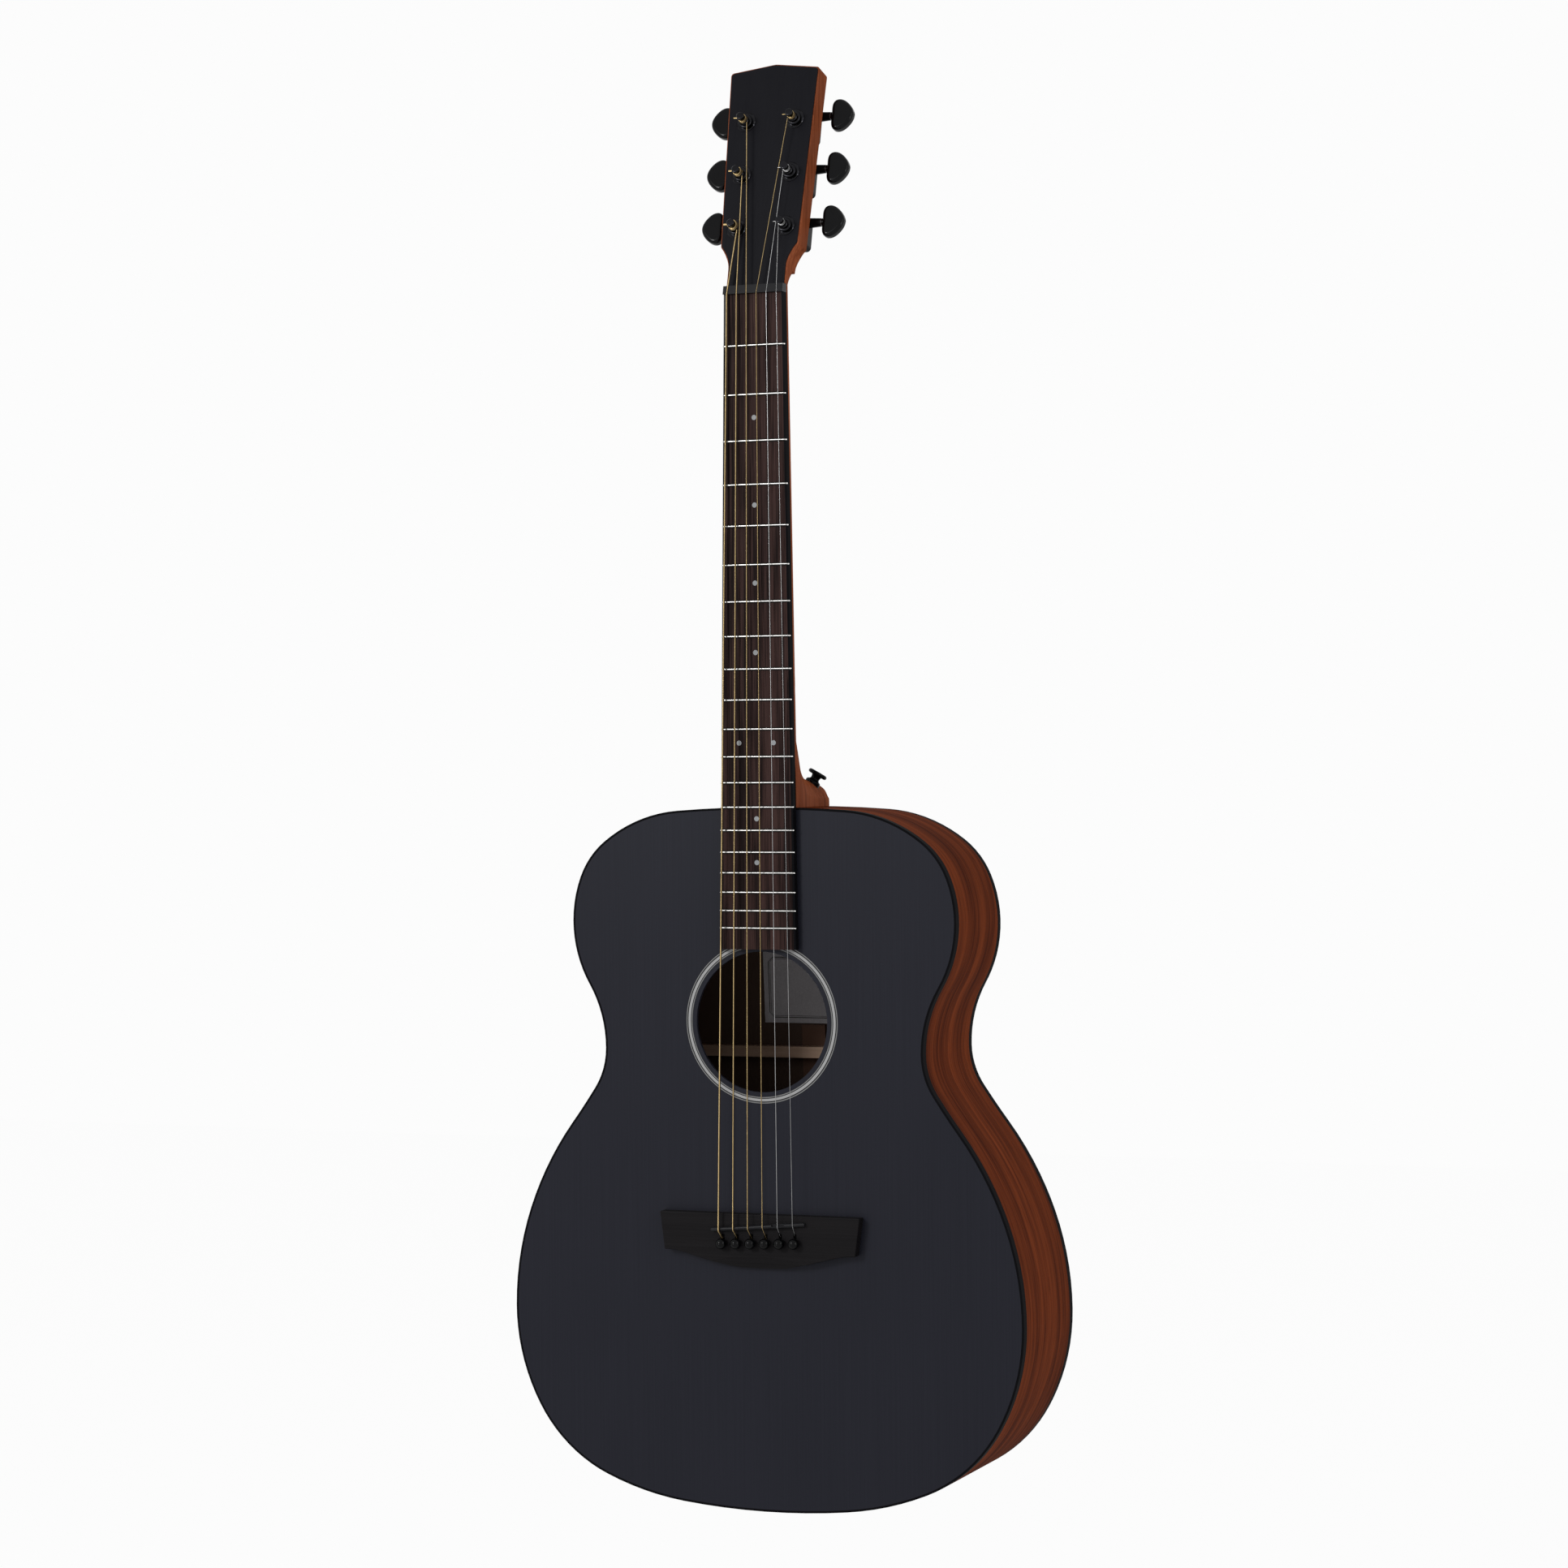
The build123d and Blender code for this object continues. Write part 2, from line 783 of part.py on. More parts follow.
def head_prism(near, far, inset=0):
    """Raise the headstock's outline, less an inset, between two levels of its own plane."""
    with BuildSketch(head_plane.offset(near), mode=Mode.PRIVATE) as section:
        add(head_outline(inset))
    extrude(section.sketch, amount=far - near)


# Side and station of each tuner, in the strings' order: up the bass side, then down the treble side
tuner_places = [(-1, station) for station in post_stations]
tuner_places += [(1, station) for station in reversed(post_stations)]


def tuner_plane(index):
    """A tuner's own frame: X to the treble side, Y up the headstock, Z out of its face."""
    side, station = tuner_places[index]
    spot = head_plane.from_local_coords(Vector(side * post_x, station, 0))
    return Plane(origin=spot, x_dir=(1, 0, 0), z_dir=head_normal)


with BuildPart() as headplate:
    head_prism(-headplate_thickness, 0, head_bevel)
    with BuildSketch(Plane.XY.offset(nut_length - 20)):
        Rectangle(3 * head_top_half, 60)
    extrude(amount=20, mode=Mode.SUBTRACT)
    for index in range(string_count):
        with Locations(tuner_plane(index).location):
            Cylinder(bushing_radius, 40, mode=Mode.SUBTRACT)

# The tuners' bushings and screws pass into the wood, and so does the strap button's screw
strap_axis = Vector(*strap_direction).normalized()
strap_plane = Plane(origin=strap_foot, x_dir=strap_axis.cross(Vector(0, 1, 0)), z_dir=strap_axis)

with BuildPart() as fitting_holes:
    for index in range(string_count):
        with Locations(tuner_plane(index).location):
            Cylinder(bushing_radius, 2 * head_thickness + 10)
            with Locations((0, -lug_reach, -head_thickness)):
                Cylinder(screw_radius, 2 * (screw_length - lug_thickness))
    with Locations(strap_plane.location):
        Cylinder(strap_screw_radius, 2 * strap_screw_length)

with BuildPart() as heel:
    loft(sections=[heel_section(*section) for section in heel_profile])

# The head's wood, whose face runs on as a thin ledge to the nut
with BuildPart() as head_slab:
    head_prism(-head_thickness, -headplate_thickness)
    fillet(head_slab.faces().sort_by(Axis(head_plane.origin, head_normal))[0].edges(), head_edge_radius)
    chamfer(head_slab.faces().sort_by(Axis(head_plane.origin, head_normal))[-1].edges(), head_bevel / 2)
    with BuildSketch(head_plane.offset(-head_face_rise - 0.5)):
        Rectangle(3 * head_top_half, 2 * head_flare_start)
    extrude(amount=-3 * head_thickness, mode=Mode.SUBTRACT)
    with BuildSketch(Plane.XY.offset(nut_length)):
        Rectangle(3 * head_top_half, 60)
    extrude(amount=-60, mode=Mode.SUBTRACT)

head_join_plane = Plane(
    origin=head_plane.from_local_coords(Vector(0, head_flare_start, -head_face_rise)),
    x_dir=(-1, 0, 0),
    z_dir=head_plane.y_dir,
)
join_depth = head_thickness - head_face_rise
nut_end = neck_section(neck_plane(nut_length), board_half(nut_length), neck_depth_at_nut, neck_power)
body_end = neck_section(neck_plane(body_top - 4), board_half(body_top), neck_depth_at_body, neck_power)
head_end = neck_section(head_join_plane, head_neck_half, join_depth, head_power)

with BuildPart() as neck:
    loft(sections=[body_end, nut_end])
    loft(sections=[nut_end, head_end])
    add(head_slab.part)
    add(heel.part)
    prism(outer_outline, 0, deep, Mode.SUBTRACT)
    add(tenon.part)
    for piece in (rod_way, rod_channel, fitting_holes):
        add(piece.part, mode=Mode.SUBTRACT)

# ---------------------------------------------------------------- truss rod and its nut
with BuildPart() as truss_rod:
    with BuildSketch(Plane.XY.offset(-rod_start - rod_bar_gap)):
        with Locations((0, rod_level)):
            Circle(rod_radius)
    extrude(amount=block_end - rod_nut_gap - rod_nut_bore + 1 + rod_start)
    with BuildSketch(Plane.XY.offset(-rod_start - rod_bar_gap)):
        with Locations((0, (rod_level - rod_radius) / 2)):
            Rectangle(2 * rod_radius, rod_level - rod_radius - 2 * rod_bar_gap)
    extrude(amount=body_top + 7.5 + rod_start)

rod_nut_plane = Plane(origin=(0, rod_level, block_end - rod_nut_gap), x_dir=(1, 0, 0), z_dir=(0, 0, -1))
with BuildPart(rod_nut_plane) as truss_rod_nut:
    Cylinder(rod_nut_radius, rod_nut_length, align=(Align.CENTER, Align.CENTER, Align.MIN))
    fillet(truss_rod_nut.edges().sort_by(Axis.Z)[0], 0.6)
    Cylinder(
        rod_radius + rod_nut_fit,
        rod_nut_bore,
        align=(Align.CENTER, Align.CENTER, Align.MIN),
        mode=Mode.SUBTRACT,
    )
    with BuildSketch(rod_nut_plane.offset(rod_nut_length)):
        RegularPolygon(hex_key / 2, 6, major_radius=False)
    extrude(amount=-hex_depth, mode=Mode.SUBTRACT)

# ---------------------------------------------------------------- fingerboard, bindings, dots, frets and nut
def board_plan(inset):
    """The fingerboard's tapering outline, narrower by an inset on both sides."""
    wide = board_half(board_end) - inset
    narrow = board_half(0) - inset
    with BuildSketch(Plane.XY, mode=Mode.PRIVATE) as sketch:
        Polygon((-wide, board_end), (wide, board_end), (narrow, 0), (-narrow, 0), align=None)
    return sketch.sketch


def board_crown(mode):
    """The long cylinder of the cambered playing surface."""
    with BuildSketch(Plane.XY.offset(board_end - 10), mode=Mode.PRIVATE) as section:
        with Locations((0, board_axis_y)):
            Circle(board_radius)
    extrude(section.sketch, amount=-board_end + 20, mode=mode)


dot_places = [(0, (fret_z(fret) + fret_z(fret - 1)) / 2) for fret in single_dot_frets]
octave_z = (fret_z(octave_fret) + fret_z(octave_fret - 1)) / 2
dot_places += [(-twin_dot_spread / 2, octave_z), (twin_dot_spread / 2, octave_z)]
side_dot_places = [(z - side * octave_side_dot_spread / 2) for z in (octave_z,) for side in (-1, 1)]
side_dot_places += [z for x, z in dot_places[: len(single_dot_frets)]]

with BuildPart() as position_dots:
    with BuildSketch(front_plane(-board_thickness - 1)):
        with Locations(dot_places):
            Circle(dot_diameter / 2)
    extrude(amount=-1 - dot_depth)
    board_crown(Mode.INTERSECT)
    for z in side_dot_places:
        with Locations(Location((-board_half(z), -board_thickness / 2, z), (0, 90, 0))):
            Cylinder(side_dot_diameter / 2, 2 * side_dot_depth)
    prism(board_plan(0), -board_thickness - 1, 0, Mode.INTERSECT)

with BuildPart() as fingerboard:
    prism(board_plan(board_binding), -board_thickness - 1, 0)
    board_crown(Mode.INTERSECT)
    for number in range(1, fret_count + 1):
        with Locations((0, -tang_floor - board_thickness / 2, fret_z(number))):
            Box(2 * last_fret_width, board_thickness, fret_slot, mode=Mode.SUBTRACT)
    add(position_dots.part, mode=Mode.SUBTRACT)

with BuildPart() as fingerboard_binding:
    prism(board_plan(0), -board_thickness - 1, 0)
    prism(board_plan(board_binding), -board_thickness - 1, 0, Mode.SUBTRACT)
    board_crown(Mode.INTERSECT)
    add(position_dots.part, mode=Mode.SUBTRACT)

with BuildPart() as frets:
    for number in range(1, fret_count + 1):
        z = fret_z(number)
        reach = asin((board_half(z) - fret_inset) / board_radius)
        ends = [Vector(x * sin(reach), -cos(reach), 0) * board_radius for x in (-1, 1)]
        start = ends[0] + Vector(0, board_axis_y, z)
        with BuildSketch(Plane(origin=start, x_dir=ends[0], z_dir=ends[0].cross(Vector(0, 0, 1)))):
            Circle(fret_radius)
        revolve(axis=Axis((0, board_axis_y, z), (0, 0, 1)), revolution_arc=degrees(2 * reach))
        with Locations([end + Vector(0, board_axis_y, z) for end in ends]):
            Sphere(fret_radius)
    board_crown(Mode.SUBTRACT)
    for number in range(1, fret_count + 1):
        half = board_half(fret_z(number) + fret_slot) - board_binding
        with Locations((0, -tang_floor, fret_z(number))):
            Box(
                2 * half,
                board_thickness - tang_floor + 0.1,
                fret_slot,
                align=(Align.CENTER, Align.MAX, Align.CENTER),
            )


# ---------------------------------------------------------------- the strings' way, point by point
nut_slope = atan((nut_height - nut_back_height) / nut_length)
saddle_tilt = atan(saddle_slant / string_spread_saddle)
saddle_plane = Plane(
    origin=(0, saddle_radius - saddle_top, saddle_z),
    x_dir=(cos(saddle_tilt), 0, sin(saddle_tilt)),
    z_dir=(-sin(saddle_tilt), 0, cos(saddle_tilt)),
)
crown_radius = saddle_thickness / 2
wrap_rises = [wraps * wrap_spacing * gauge for wraps, gauge in zip(string_wraps, string_gauges)]


def post_touch(index):
    """Where a string first meets its post."""
    side, station = tuner_places[index]
    reach = post_x - post_waist_radius - string_gauges[index] / 2
    spot = Vector(side * reach, station, string_hole_level - wrap_rises[index])
    return head_plane.from_local_coords(spot)


def corner_over(centre, radius, before, after):
    """The corner of a bent line whose two legs both graze a round of the given radius."""
    corner = centre + Vector(0, -radius, 0)
    for _ in range(5):
        back = (before - corner).normalized()
        ahead = (after - corner).normalized()
        inward = (back + ahead).normalized()
        corner = centre - inward * (radius / sqrt(1 - inward.dot(ahead) ** 2))
    return corner


def string_points(index):
    """The corners of a string's path, from its ball end to just before its post."""
    gauge = string_gauges[index]
    pin_across, pin_level = pin_place(index)
    leave = pin_level + string_pin_offset
    nut_x = string_x(index, string_spread_nut)
    ball = Vector(pin_across, plate_bottom + ball_end_radius, leave)
    slot = Vector(pin_across, -pin_slot_level, leave)
    nut_corner = Vector(nut_x, -nut_string_level + board_sag(nut_x), 0)
    saddle_x = string_x(index, string_spread_saddle)
    crown_y = saddle_radius - saddle_top - sqrt((saddle_radius - crown_radius) ** 2 - saddle_x**2)
    crown = Vector(saddle_x, crown_y, saddle_z + saddle_x * tan(saddle_tilt))
    saddle_corner = corner_over(crown, crown_radius + gauge / 2 + string_lift, slot, nut_corner)
    touch = post_touch(index)
    stop = sqrt((post_waist_radius + gauge + wrap_clearance) ** 2 - post_waist_radius**2)
    end = touch + (nut_corner - touch).normalized() * stop
    return [ball, slot, saddle_corner, nut_corner, end]


string_paths = [string_points(index) for index in range(string_count)]


def string(index):
    """One string with its ball end, bent over the bridge pin slot, the saddle and the nut."""
    gauge = string_gauges[index]
    points = string_paths[index]
    bends = (string_bend_radius, crown_radius + gauge / 2 + string_lift, nut_bend_radius)
    with BuildLine(mode=Mode.PRIVATE) as path:
        FilletPolyline(*points, radius=bends)
    start = Plane(origin=points[0], x_dir=(1, 0, 0), z_dir=points[1] - points[0])
    with BuildSketch(start, mode=Mode.PRIVATE) as section:
        Circle(gauge / 2)
    sweep(sections=section.sketch, path=path.line)
    with Locations(Location(points[0], (0, 90, 0))):
        Cylinder(ball_end_radius, ball_end_length)


with BuildPart() as wound_strings:
    for index in range(wound_count):
        string(index)

with BuildPart() as plain_strings:
    for index in range(wound_count, string_count):
        string(index)

with BuildPart() as nut:
    with BuildSketch(front_plane(-nut_height)):
        with Locations((0, nut_length / 2)):
            Rectangle(nut_width, nut_length)
    extrude(amount=-nut_height)
    slope_axis = Vector(0, sin(nut_slope), cos(nut_slope))
    slope_depth = Vector(0, cos(nut_slope), -sin(nut_slope))
    crown_centre = Vector(0, -nut_height, 0) + slope_depth * board_radius
    with Locations(Plane(crown_centre, (1, 0, 0), slope_axis).location):
        Cylinder(board_radius, 60, mode=Mode.INTERSECT)
    for gauge, points in zip(string_gauges, string_paths):
        slot_plane = Plane(origin=points[3], x_dir=(1, 0, 0), z_dir=points[4] - points[3])
        half = gauge / 2 + slot_clearance
        with BuildSketch(slot_plane.offset(-nut_length)):
            Circle(half)
            with Locations((0, -nut_height / 2)):
                Rectangle(2 * half, nut_height)
        extrude(amount=3 * nut_length, mode=Mode.SUBTRACT)

# ---------------------------------------------------------------- bridge, saddle and pins
with BuildPart() as saddle_slot:
    with BuildSketch(front_plane(-saddle_seat)):
        with Locations(Location((0, saddle_z), degrees(saddle_tilt))):
            SlotOverall(saddle_length, saddle_thickness)
    extrude(amount=saddle_top)

with BuildPart() as saddle:
    with Locations(saddle_plane.location):
        Cylinder(saddle_radius - crown_radius, 4 * saddle_thickness)
    crown_reach = asin(saddle_length / 2 / (saddle_radius - crown_radius))
    outward = saddle_plane.y_dir * -cos(crown_reach) - saddle_plane.x_dir * sin(crown_reach)
    start = saddle_plane.origin + outward * (saddle_radius - crown_radius)
    with BuildSketch(Plane(origin=start, x_dir=outward, z_dir=outward.cross(saddle_plane.z_dir))):
        Circle(crown_radius)
    revolve(
        axis=Axis(saddle_plane.origin, saddle_plane.z_dir),
        revolution_arc=2 * degrees(crown_reach),
    )
    add(saddle_slot.part, mode=Mode.INTERSECT)
    second_string_x = string_x(string_count - 2, string_spread_saddle)
    second_string_z = saddle_z + second_string_x * tan(saddle_tilt)
    step_place = (second_string_x, saddle_step_depth - saddle_top, second_string_z)
    with Locations(Location(step_place, (0, -degrees(saddle_tilt), 0))):
        Box(
            saddle_step_width,
            2 * saddle_step_depth,
            2 * saddle_thickness,
            align=(Align.CENTER, Align.MAX, Align.MIN),
            mode=Mode.SUBTRACT,
        )

with BuildPart() as bridge:
    with BuildSketch(front_plane(0)):
        with BuildLine() as edge:
            Polyline(
                (0, bridge_top_z),
                (bridge_width / 2, bridge_top_z),
                (bridge_foot_width / 2, bridge_top_z - bridge_height),
            )
            Spline(
                *[(across, bridge_top_z - bridge_height - drop) for across, drop in bridge_belly_curve],
                tangents=[(-1, 0), (-1, 0)],
            )
            mirror(edge.line, about=Plane.YZ)
        make_face()
    extrude(amount=bridge_thickness)
    fillet(bridge.edges().filter_by(Axis.Y), bridge_corner_radius)
    fillet(bridge.faces().sort_by(Axis.Y)[0].edges(), bridge_edge_radius)
    with Locations(scoop_centre):
        Sphere(scoop_radius, mode=Mode.SUBTRACT)
    add(pin_holes.part, mode=Mode.SUBTRACT)
    add(saddle_slot.part, mode=Mode.SUBTRACT)
    for index, gauge in enumerate(string_gauges):
        pin_across, pin_level = pin_place(index)
        with Locations((pin_across, -pin_slot_level + ramp_clearance, pin_level)):
            Box(
                gauge + 4 * ramp_clearance,
                bridge_thickness,
                string_ramp_length,
                align=(Align.CENTER, Align.MAX, Align.MIN),
                mode=Mode.SUBTRACT,
            )

with BuildPart() as pin:
    with Locations((0, 0, bridge_thickness + pin_lift)):
        Cylinder(pin_radius, pin_length, align=(Align.CENTER, Align.CENTER, Align.MAX))
    fillet(pin.edges().sort_by(Axis.Z)[0], 1.2)
    with BuildSketch():
        with Locations((0, pin_groove_floor)):
            Rectangle(pin_groove, 2 * pin_radius, align=(Align.CENTER, Align.MIN))
    extrude(amount=bridge_thickness, mode=Mode.SUBTRACT)
    with BuildSketch():
        with Locations((0, pin_groove_floor)):
            Rectangle(pin_groove, 2 * pin_radius, align=(Align.CENTER, Align.MIN))
    extrude(amount=-plate_bottom, mode=Mode.SUBTRACT)
    with BuildSketch(Plane.XY.offset(-plate_bottom)):
        with Locations((0, -pin_foot_flat)):
            Rectangle(4 * pin_radius, 2 * pin_radius, align=(Align.CENTER, Align.MIN))
    extrude(amount=-pin_length, mode=Mode.SUBTRACT)

with BuildPart() as pin_ball:
    with Locations((0, 0, pin_ball_level)):
        Sphere(pin_ball_radius)
    with BuildSketch():
        Circle(2 * pin_ball_radius)
    extrude(amount=bridge_thickness + pin_ball_lift, mode=Mode.SUBTRACT)

with BuildPart() as bridge_pins:
    for index in range(string_count):
        pin_across, pin_level = pin_place(index)
        foot = Vector(pin_across, 0, pin_level)
        with Locations(Plane(origin=foot, x_dir=(1, 0, 0), z_dir=(0, -1, 0)).location):
            add(pin.part)
            add(pin_ball.part)

# ---------------------------------------------------------------- tuners
# Masters are drawn in a tuner's own frame (X to the treble, Y up the headstock, Z out of its face)
worm_level = -head_thickness - worm_drop
post_foot = worm_level - post_foot_drop
housing_floor = head_thickness + housing_plate
housing_back = head_thickness + housing_depth
gear_radius = gear_module * gear_teeth / 2
gear_pitch = pi * gear_module
worm_y = gear_radius + worm_radius
lead = atan(gear_pitch / (2 * pi * worm_radius))
tip_height = gear_tip * gear_module
root_depth = gear_root * gear_module
flank = tan(radians(pressure_angle))
worm_tip_radius = worm_radius + tip_height
worm_half = gear_pitch * worm_turns / 2
pocket_half = worm_half + cavity_gap
housing_half = housing_width / 2
housing_top = worm_y + worm_tip_radius + cavity_gap + housing_wall
collar_end = collar_reach - post_x

with BuildPart() as gear:
    with Locations((0, 0, worm_level)):
        Cylinder(gear_radius - root_depth, gear_thickness)
    for index in range(gear_teeth):
        turn = 2 * pi * index / gear_teeth
        half = gear_pitch / 4 - flank_clearance
        with BuildSketch(Plane.XY.offset(worm_level), mode=Mode.PRIVATE) as tooth:
            with Locations(Location((0, 0), degrees(turn))):
                Polygon(
                    (gear_radius - root_depth - 0.2, -half - root_depth * flank),
                    (gear_radius, -half),
                    (gear_radius + tip_height, -half + tip_height * tip_flank),
                    (gear_radius + tip_height, half - tip_height * tip_flank),
                    (gear_radius, half),
                    (gear_radius - root_depth - 0.2, half + root_depth * flank),
                    align=None,
                )
        extrude(
            tooth.sketch,
            amount=gear_thickness / 2 / cos(lead),
            dir=(sin(turn) * sin(lead), -cos(turn) * sin(lead), cos(lead)),
            both=True,
        )
    with Locations((0, 0, worm_level)):
        Cylinder(post_radius + gear_bore_fit, 2 * gear_thickness, mode=Mode.SUBTRACT)

with BuildPart() as gear_screw:
    with Locations((0, 0, post_foot - screw_head_thickness - seam_gap)):
        for radius, length in (
            (gear_screw_head_radius, screw_head_thickness),
            (screw_radius - seam_gap, gear_screw_length),
        ):
            Cylinder(radius, length, align=(Align.CENTER, Align.CENTER, Align.MIN))

# Worm, drawn about Z with the gear's side along +X, then laid along the shaft
with BuildPart() as worm:
    Cylinder(worm_radius - root_depth, 2 * worm_half)
    with BuildLine() as thread:
        Helix(
            pitch=gear_pitch,
            height=worm_turns * gear_pitch,
            radius=worm_radius - root_depth - 0.05,
            center=(0, 0, -worm_half),
            lefthand=True,
        )
    with BuildSketch(Plane(origin=thread.line @ 0, x_dir=(1, 0, 0), z_dir=thread.line % 0)):
        foot = gear_pitch / 4 + root_depth * flank
        crest = gear_pitch / 4 - tip_height * flank
        rise = root_depth + tip_height + 0.05
        Polygon((0, -foot), (rise, -crest), (rise, crest), (0, foot), align=None)
    sweep(path=thread.line, is_frenet=True)
    Cylinder(worm_tip_radius + 1, 2 * worm_half, mode=Mode.INTERSECT)
    with Locations((0, 0, -worm_half - journal_length)):
        Cylinder(journal_radius, journal_length + 1, align=(Align.CENTER, Align.CENTER, Align.MIN))
    Cylinder(shaft_radius, shaft_end - post_x, align=(Align.CENTER, Align.CENTER, Align.MIN))
    with Locations((0, 0, collar_end + shaft_ring_gap)):
        Cylinder(shaft_ring_radius, shaft_ring_length, align=(Align.CENTER, Align.CENTER, Align.MIN))

# The worm lies across the headstock, its gear side facing the post
def worm_plane(side):
    return Plane(origin=(0, worm_y, worm_level), x_dir=(0, -1, 0), z_dir=(side, 0, 0))


button_rim = button_curve + tuple((along, -aside) for along, aside in reversed(button_curve[1:-1]))
with BuildPart() as button_profile:
    with BuildSketch():
        with BuildLine():
            Spline(*button_rim, periodic=True)
        make_face()
    extrude(amount=button_thickness / 2, both=True)
    fillet(button_profile.faces().filter_by(Axis.Z).edges(), button_edge_radius)

# Button, drawn like the worm, about Z with its flat sides facing X
with BuildPart() as button:
    with Locations(Plane(origin=(0, 0, button_start - post_x), x_dir=(0, 0, 1), z_dir=(0, 1, 0)).location):
        add(button_profile.part)
    with Locations((0, 0, button_stem_start - post_x)):
        Cylinder(button_stem_radius, button_stem_length, align=(Align.CENTER, Align.CENTER, Align.MIN))
    Cylinder(
        shaft_radius + gear_bore_fit,
        shaft_end - post_x,
        align=(Align.CENTER, Align.CENTER, Align.MIN),
        mode=Mode.SUBTRACT,
    )
    with Locations((0, 0, button_reach - post_x - screw_head_thickness)):
        Cylinder(
            button_screw_radius,
            2 * screw_head_thickness,
            align=(Align.CENTER, Align.CENTER, Align.MIN),
            mode=Mode.SUBTRACT,
        )
    with Locations((0, 0, shaft_end - post_x)):
        Cylinder(
            screw_radius,
            button_reach - shaft_end,
            align=(Align.CENTER, Align.CENTER, Align.MIN),
            mode=Mode.SUBTRACT,
        )

with BuildPart() as button_screw:
    with Locations((0, 0, button_reach - post_x - screw_head_thickness + seam_gap)):
        Cylinder(
            button_screw_radius - seam_gap,
            screw_head_thickness,
            align=(Align.CENTER, Align.CENTER, Align.MIN),
        )
    with Locations((0, 0, shaft_end - post_x + running_fit)):
        Cylinder(
            screw_radius - seam_gap,
            button_reach - shaft_end - running_fit - screw_head_thickness + seam_gap,
            align=(Align.CENTER, Align.CENTER, Align.MIN),
        )
    with Locations((0, 0, button_reach - post_x)):
        Box(2 * button_screw_radius - 1, screw_slot_width, screw_slot_width, mode=Mode.SUBTRACT)
        Box(screw_slot_width, 2 * button_screw_radius - 1, screw_slot_width, mode=Mode.SUBTRACT)


def housing_plan():
    """Outline of a tuner's housing behind the headstock."""
    with Locations((0, (housing_top - housing_half) / 2)):
        RectangleRounded(housing_width, housing_half + housing_top, housing_corner_radius)


# Housing of a treble tuner; the bass ones are its mirror images
with BuildPart() as treble_housing:
    with BuildSketch(Plane.XY.offset(-head_thickness)):
        housing_plan()
    extrude(amount=head_thickness - housing_back)
    with BuildSketch(Plane.XY.offset(-head_thickness)):
        with Locations((0, -lug_reach)):
            Circle(lug_radius)
        with Locations((0, -housing_half)):
            Rectangle(2 * lug_radius, 2 * (lug_reach - housing_half))
    extrude(amount=-lug_thickness)
    with BuildSketch(Plane.XY.offset(-housing_floor)):
        Circle(gear_radius + tip_height + cavity_gap)
        with Locations((0, worm_y / 2)):
            Rectangle(2 * pocket_half, worm_y)
        with Locations((0, worm_y)):
            Rectangle(2 * pocket_half, 2 * (worm_tip_radius + cavity_gap))
    extrude(amount=housing_floor - housing_back, mode=Mode.SUBTRACT)
    with Locations(worm_plane(1).location):
        with Locations((0, 0, (housing_half - housing_wall + collar_end) / 2)):
            Cone(collar_radius, collar_tip_radius, collar_end - housing_half + housing_wall)
        Cylinder(
            shaft_radius + running_fit,
            2 * collar_end,
            align=(Align.CENTER, Align.CENTER, Align.MIN),
            mode=Mode.SUBTRACT,
        )
        with Locations((0, 0, -worm_half - journal_length - cavity_gap)):
            Cylinder(
                journal_radius + running_fit,
                2 * journal_length,
                align=(Align.CENTER, Align.CENTER, Align.MIN),
                mode=Mode.SUBTRACT,
            )
    Cylinder(post_radius + running_fit, 2 * housing_floor + 1, mode=Mode.SUBTRACT)
    with Locations((0, -lug_reach, -head_thickness)):
        Cylinder(screw_radius, 4 * lug_thickness, mode=Mode.SUBTRACT)

with BuildPart() as bass_housing:
    mirror(treble_housing.part, about=Plane.YZ)

with BuildPart() as cover:
    with BuildSketch(Plane.XY.offset(-housing_back)):
        housing_plan()
    extrude(amount=-cover_thickness)
    fillet(cover.faces().sort_by(Axis.Z)[0].edges(), cover_thickness / 2)

with BuildPart() as bushing:
    with BuildSketch(Plane.XZ):
        with BuildLine():
            Polyline(
                (bushing_top_radius, washer_thickness),
                (washer_radius - 0.5, washer_thickness),
                (washer_radius, washer_thickness / 2),
                (washer_radius, 0),
                (bushing_radius, 0),
                (bushing_radius, -head_thickness),
                (post_radius + running_fit, -head_thickness),
                (post_radius + running_fit, bushing_top - 0.4),
                (post_radius + running_fit + 0.4, bushing_top),
                (bushing_top_radius - bushing_crown_radius, bushing_top),
            )
            RadiusArc(
                (bushing_top_radius - bushing_crown_radius, bushing_top),
                (bushing_top_radius, bushing_top - bushing_crown_radius),
                bushing_crown_radius,
            )
            Line(
                (bushing_top_radius, bushing_top - bushing_crown_radius),
                (bushing_top_radius, washer_thickness),
            )
        make_face()
    revolve(axis=Axis.Z)

with BuildPart() as lug_screw:
    with Locations((0, -lug_reach, -head_thickness - lug_thickness)):
        Cylinder(screw_radius, screw_length, align=(Align.CENTER, Align.CENTER, Align.MIN))
        Cylinder(screw_head_radius, screw_head_thickness, align=(Align.CENTER, Align.CENTER, Align.MAX))
        fillet(lug_screw.edges().sort_by(Axis.Z)[0], screw_head_thickness / 2)
    with Locations((0, -lug_reach, -head_thickness - lug_thickness - screw_head_thickness)):
        Box(2 * screw_head_radius - 1.2, screw_slot_width, screw_slot_width, mode=Mode.SUBTRACT)
        Box(screw_slot_width, 2 * screw_head_radius - 1.2, screw_slot_width, mode=Mode.SUBTRACT)

with BuildPart() as tuner_housings:
    for index, (side, station) in enumerate(tuner_places):
        with Locations(tuner_plane(index).location):
            add(treble_housing.part if side > 0 else bass_housing.part)

with BuildPart() as tuner_covers:
    for index in range(string_count):
        with Locations(tuner_plane(index).location):
            add(cover.part)

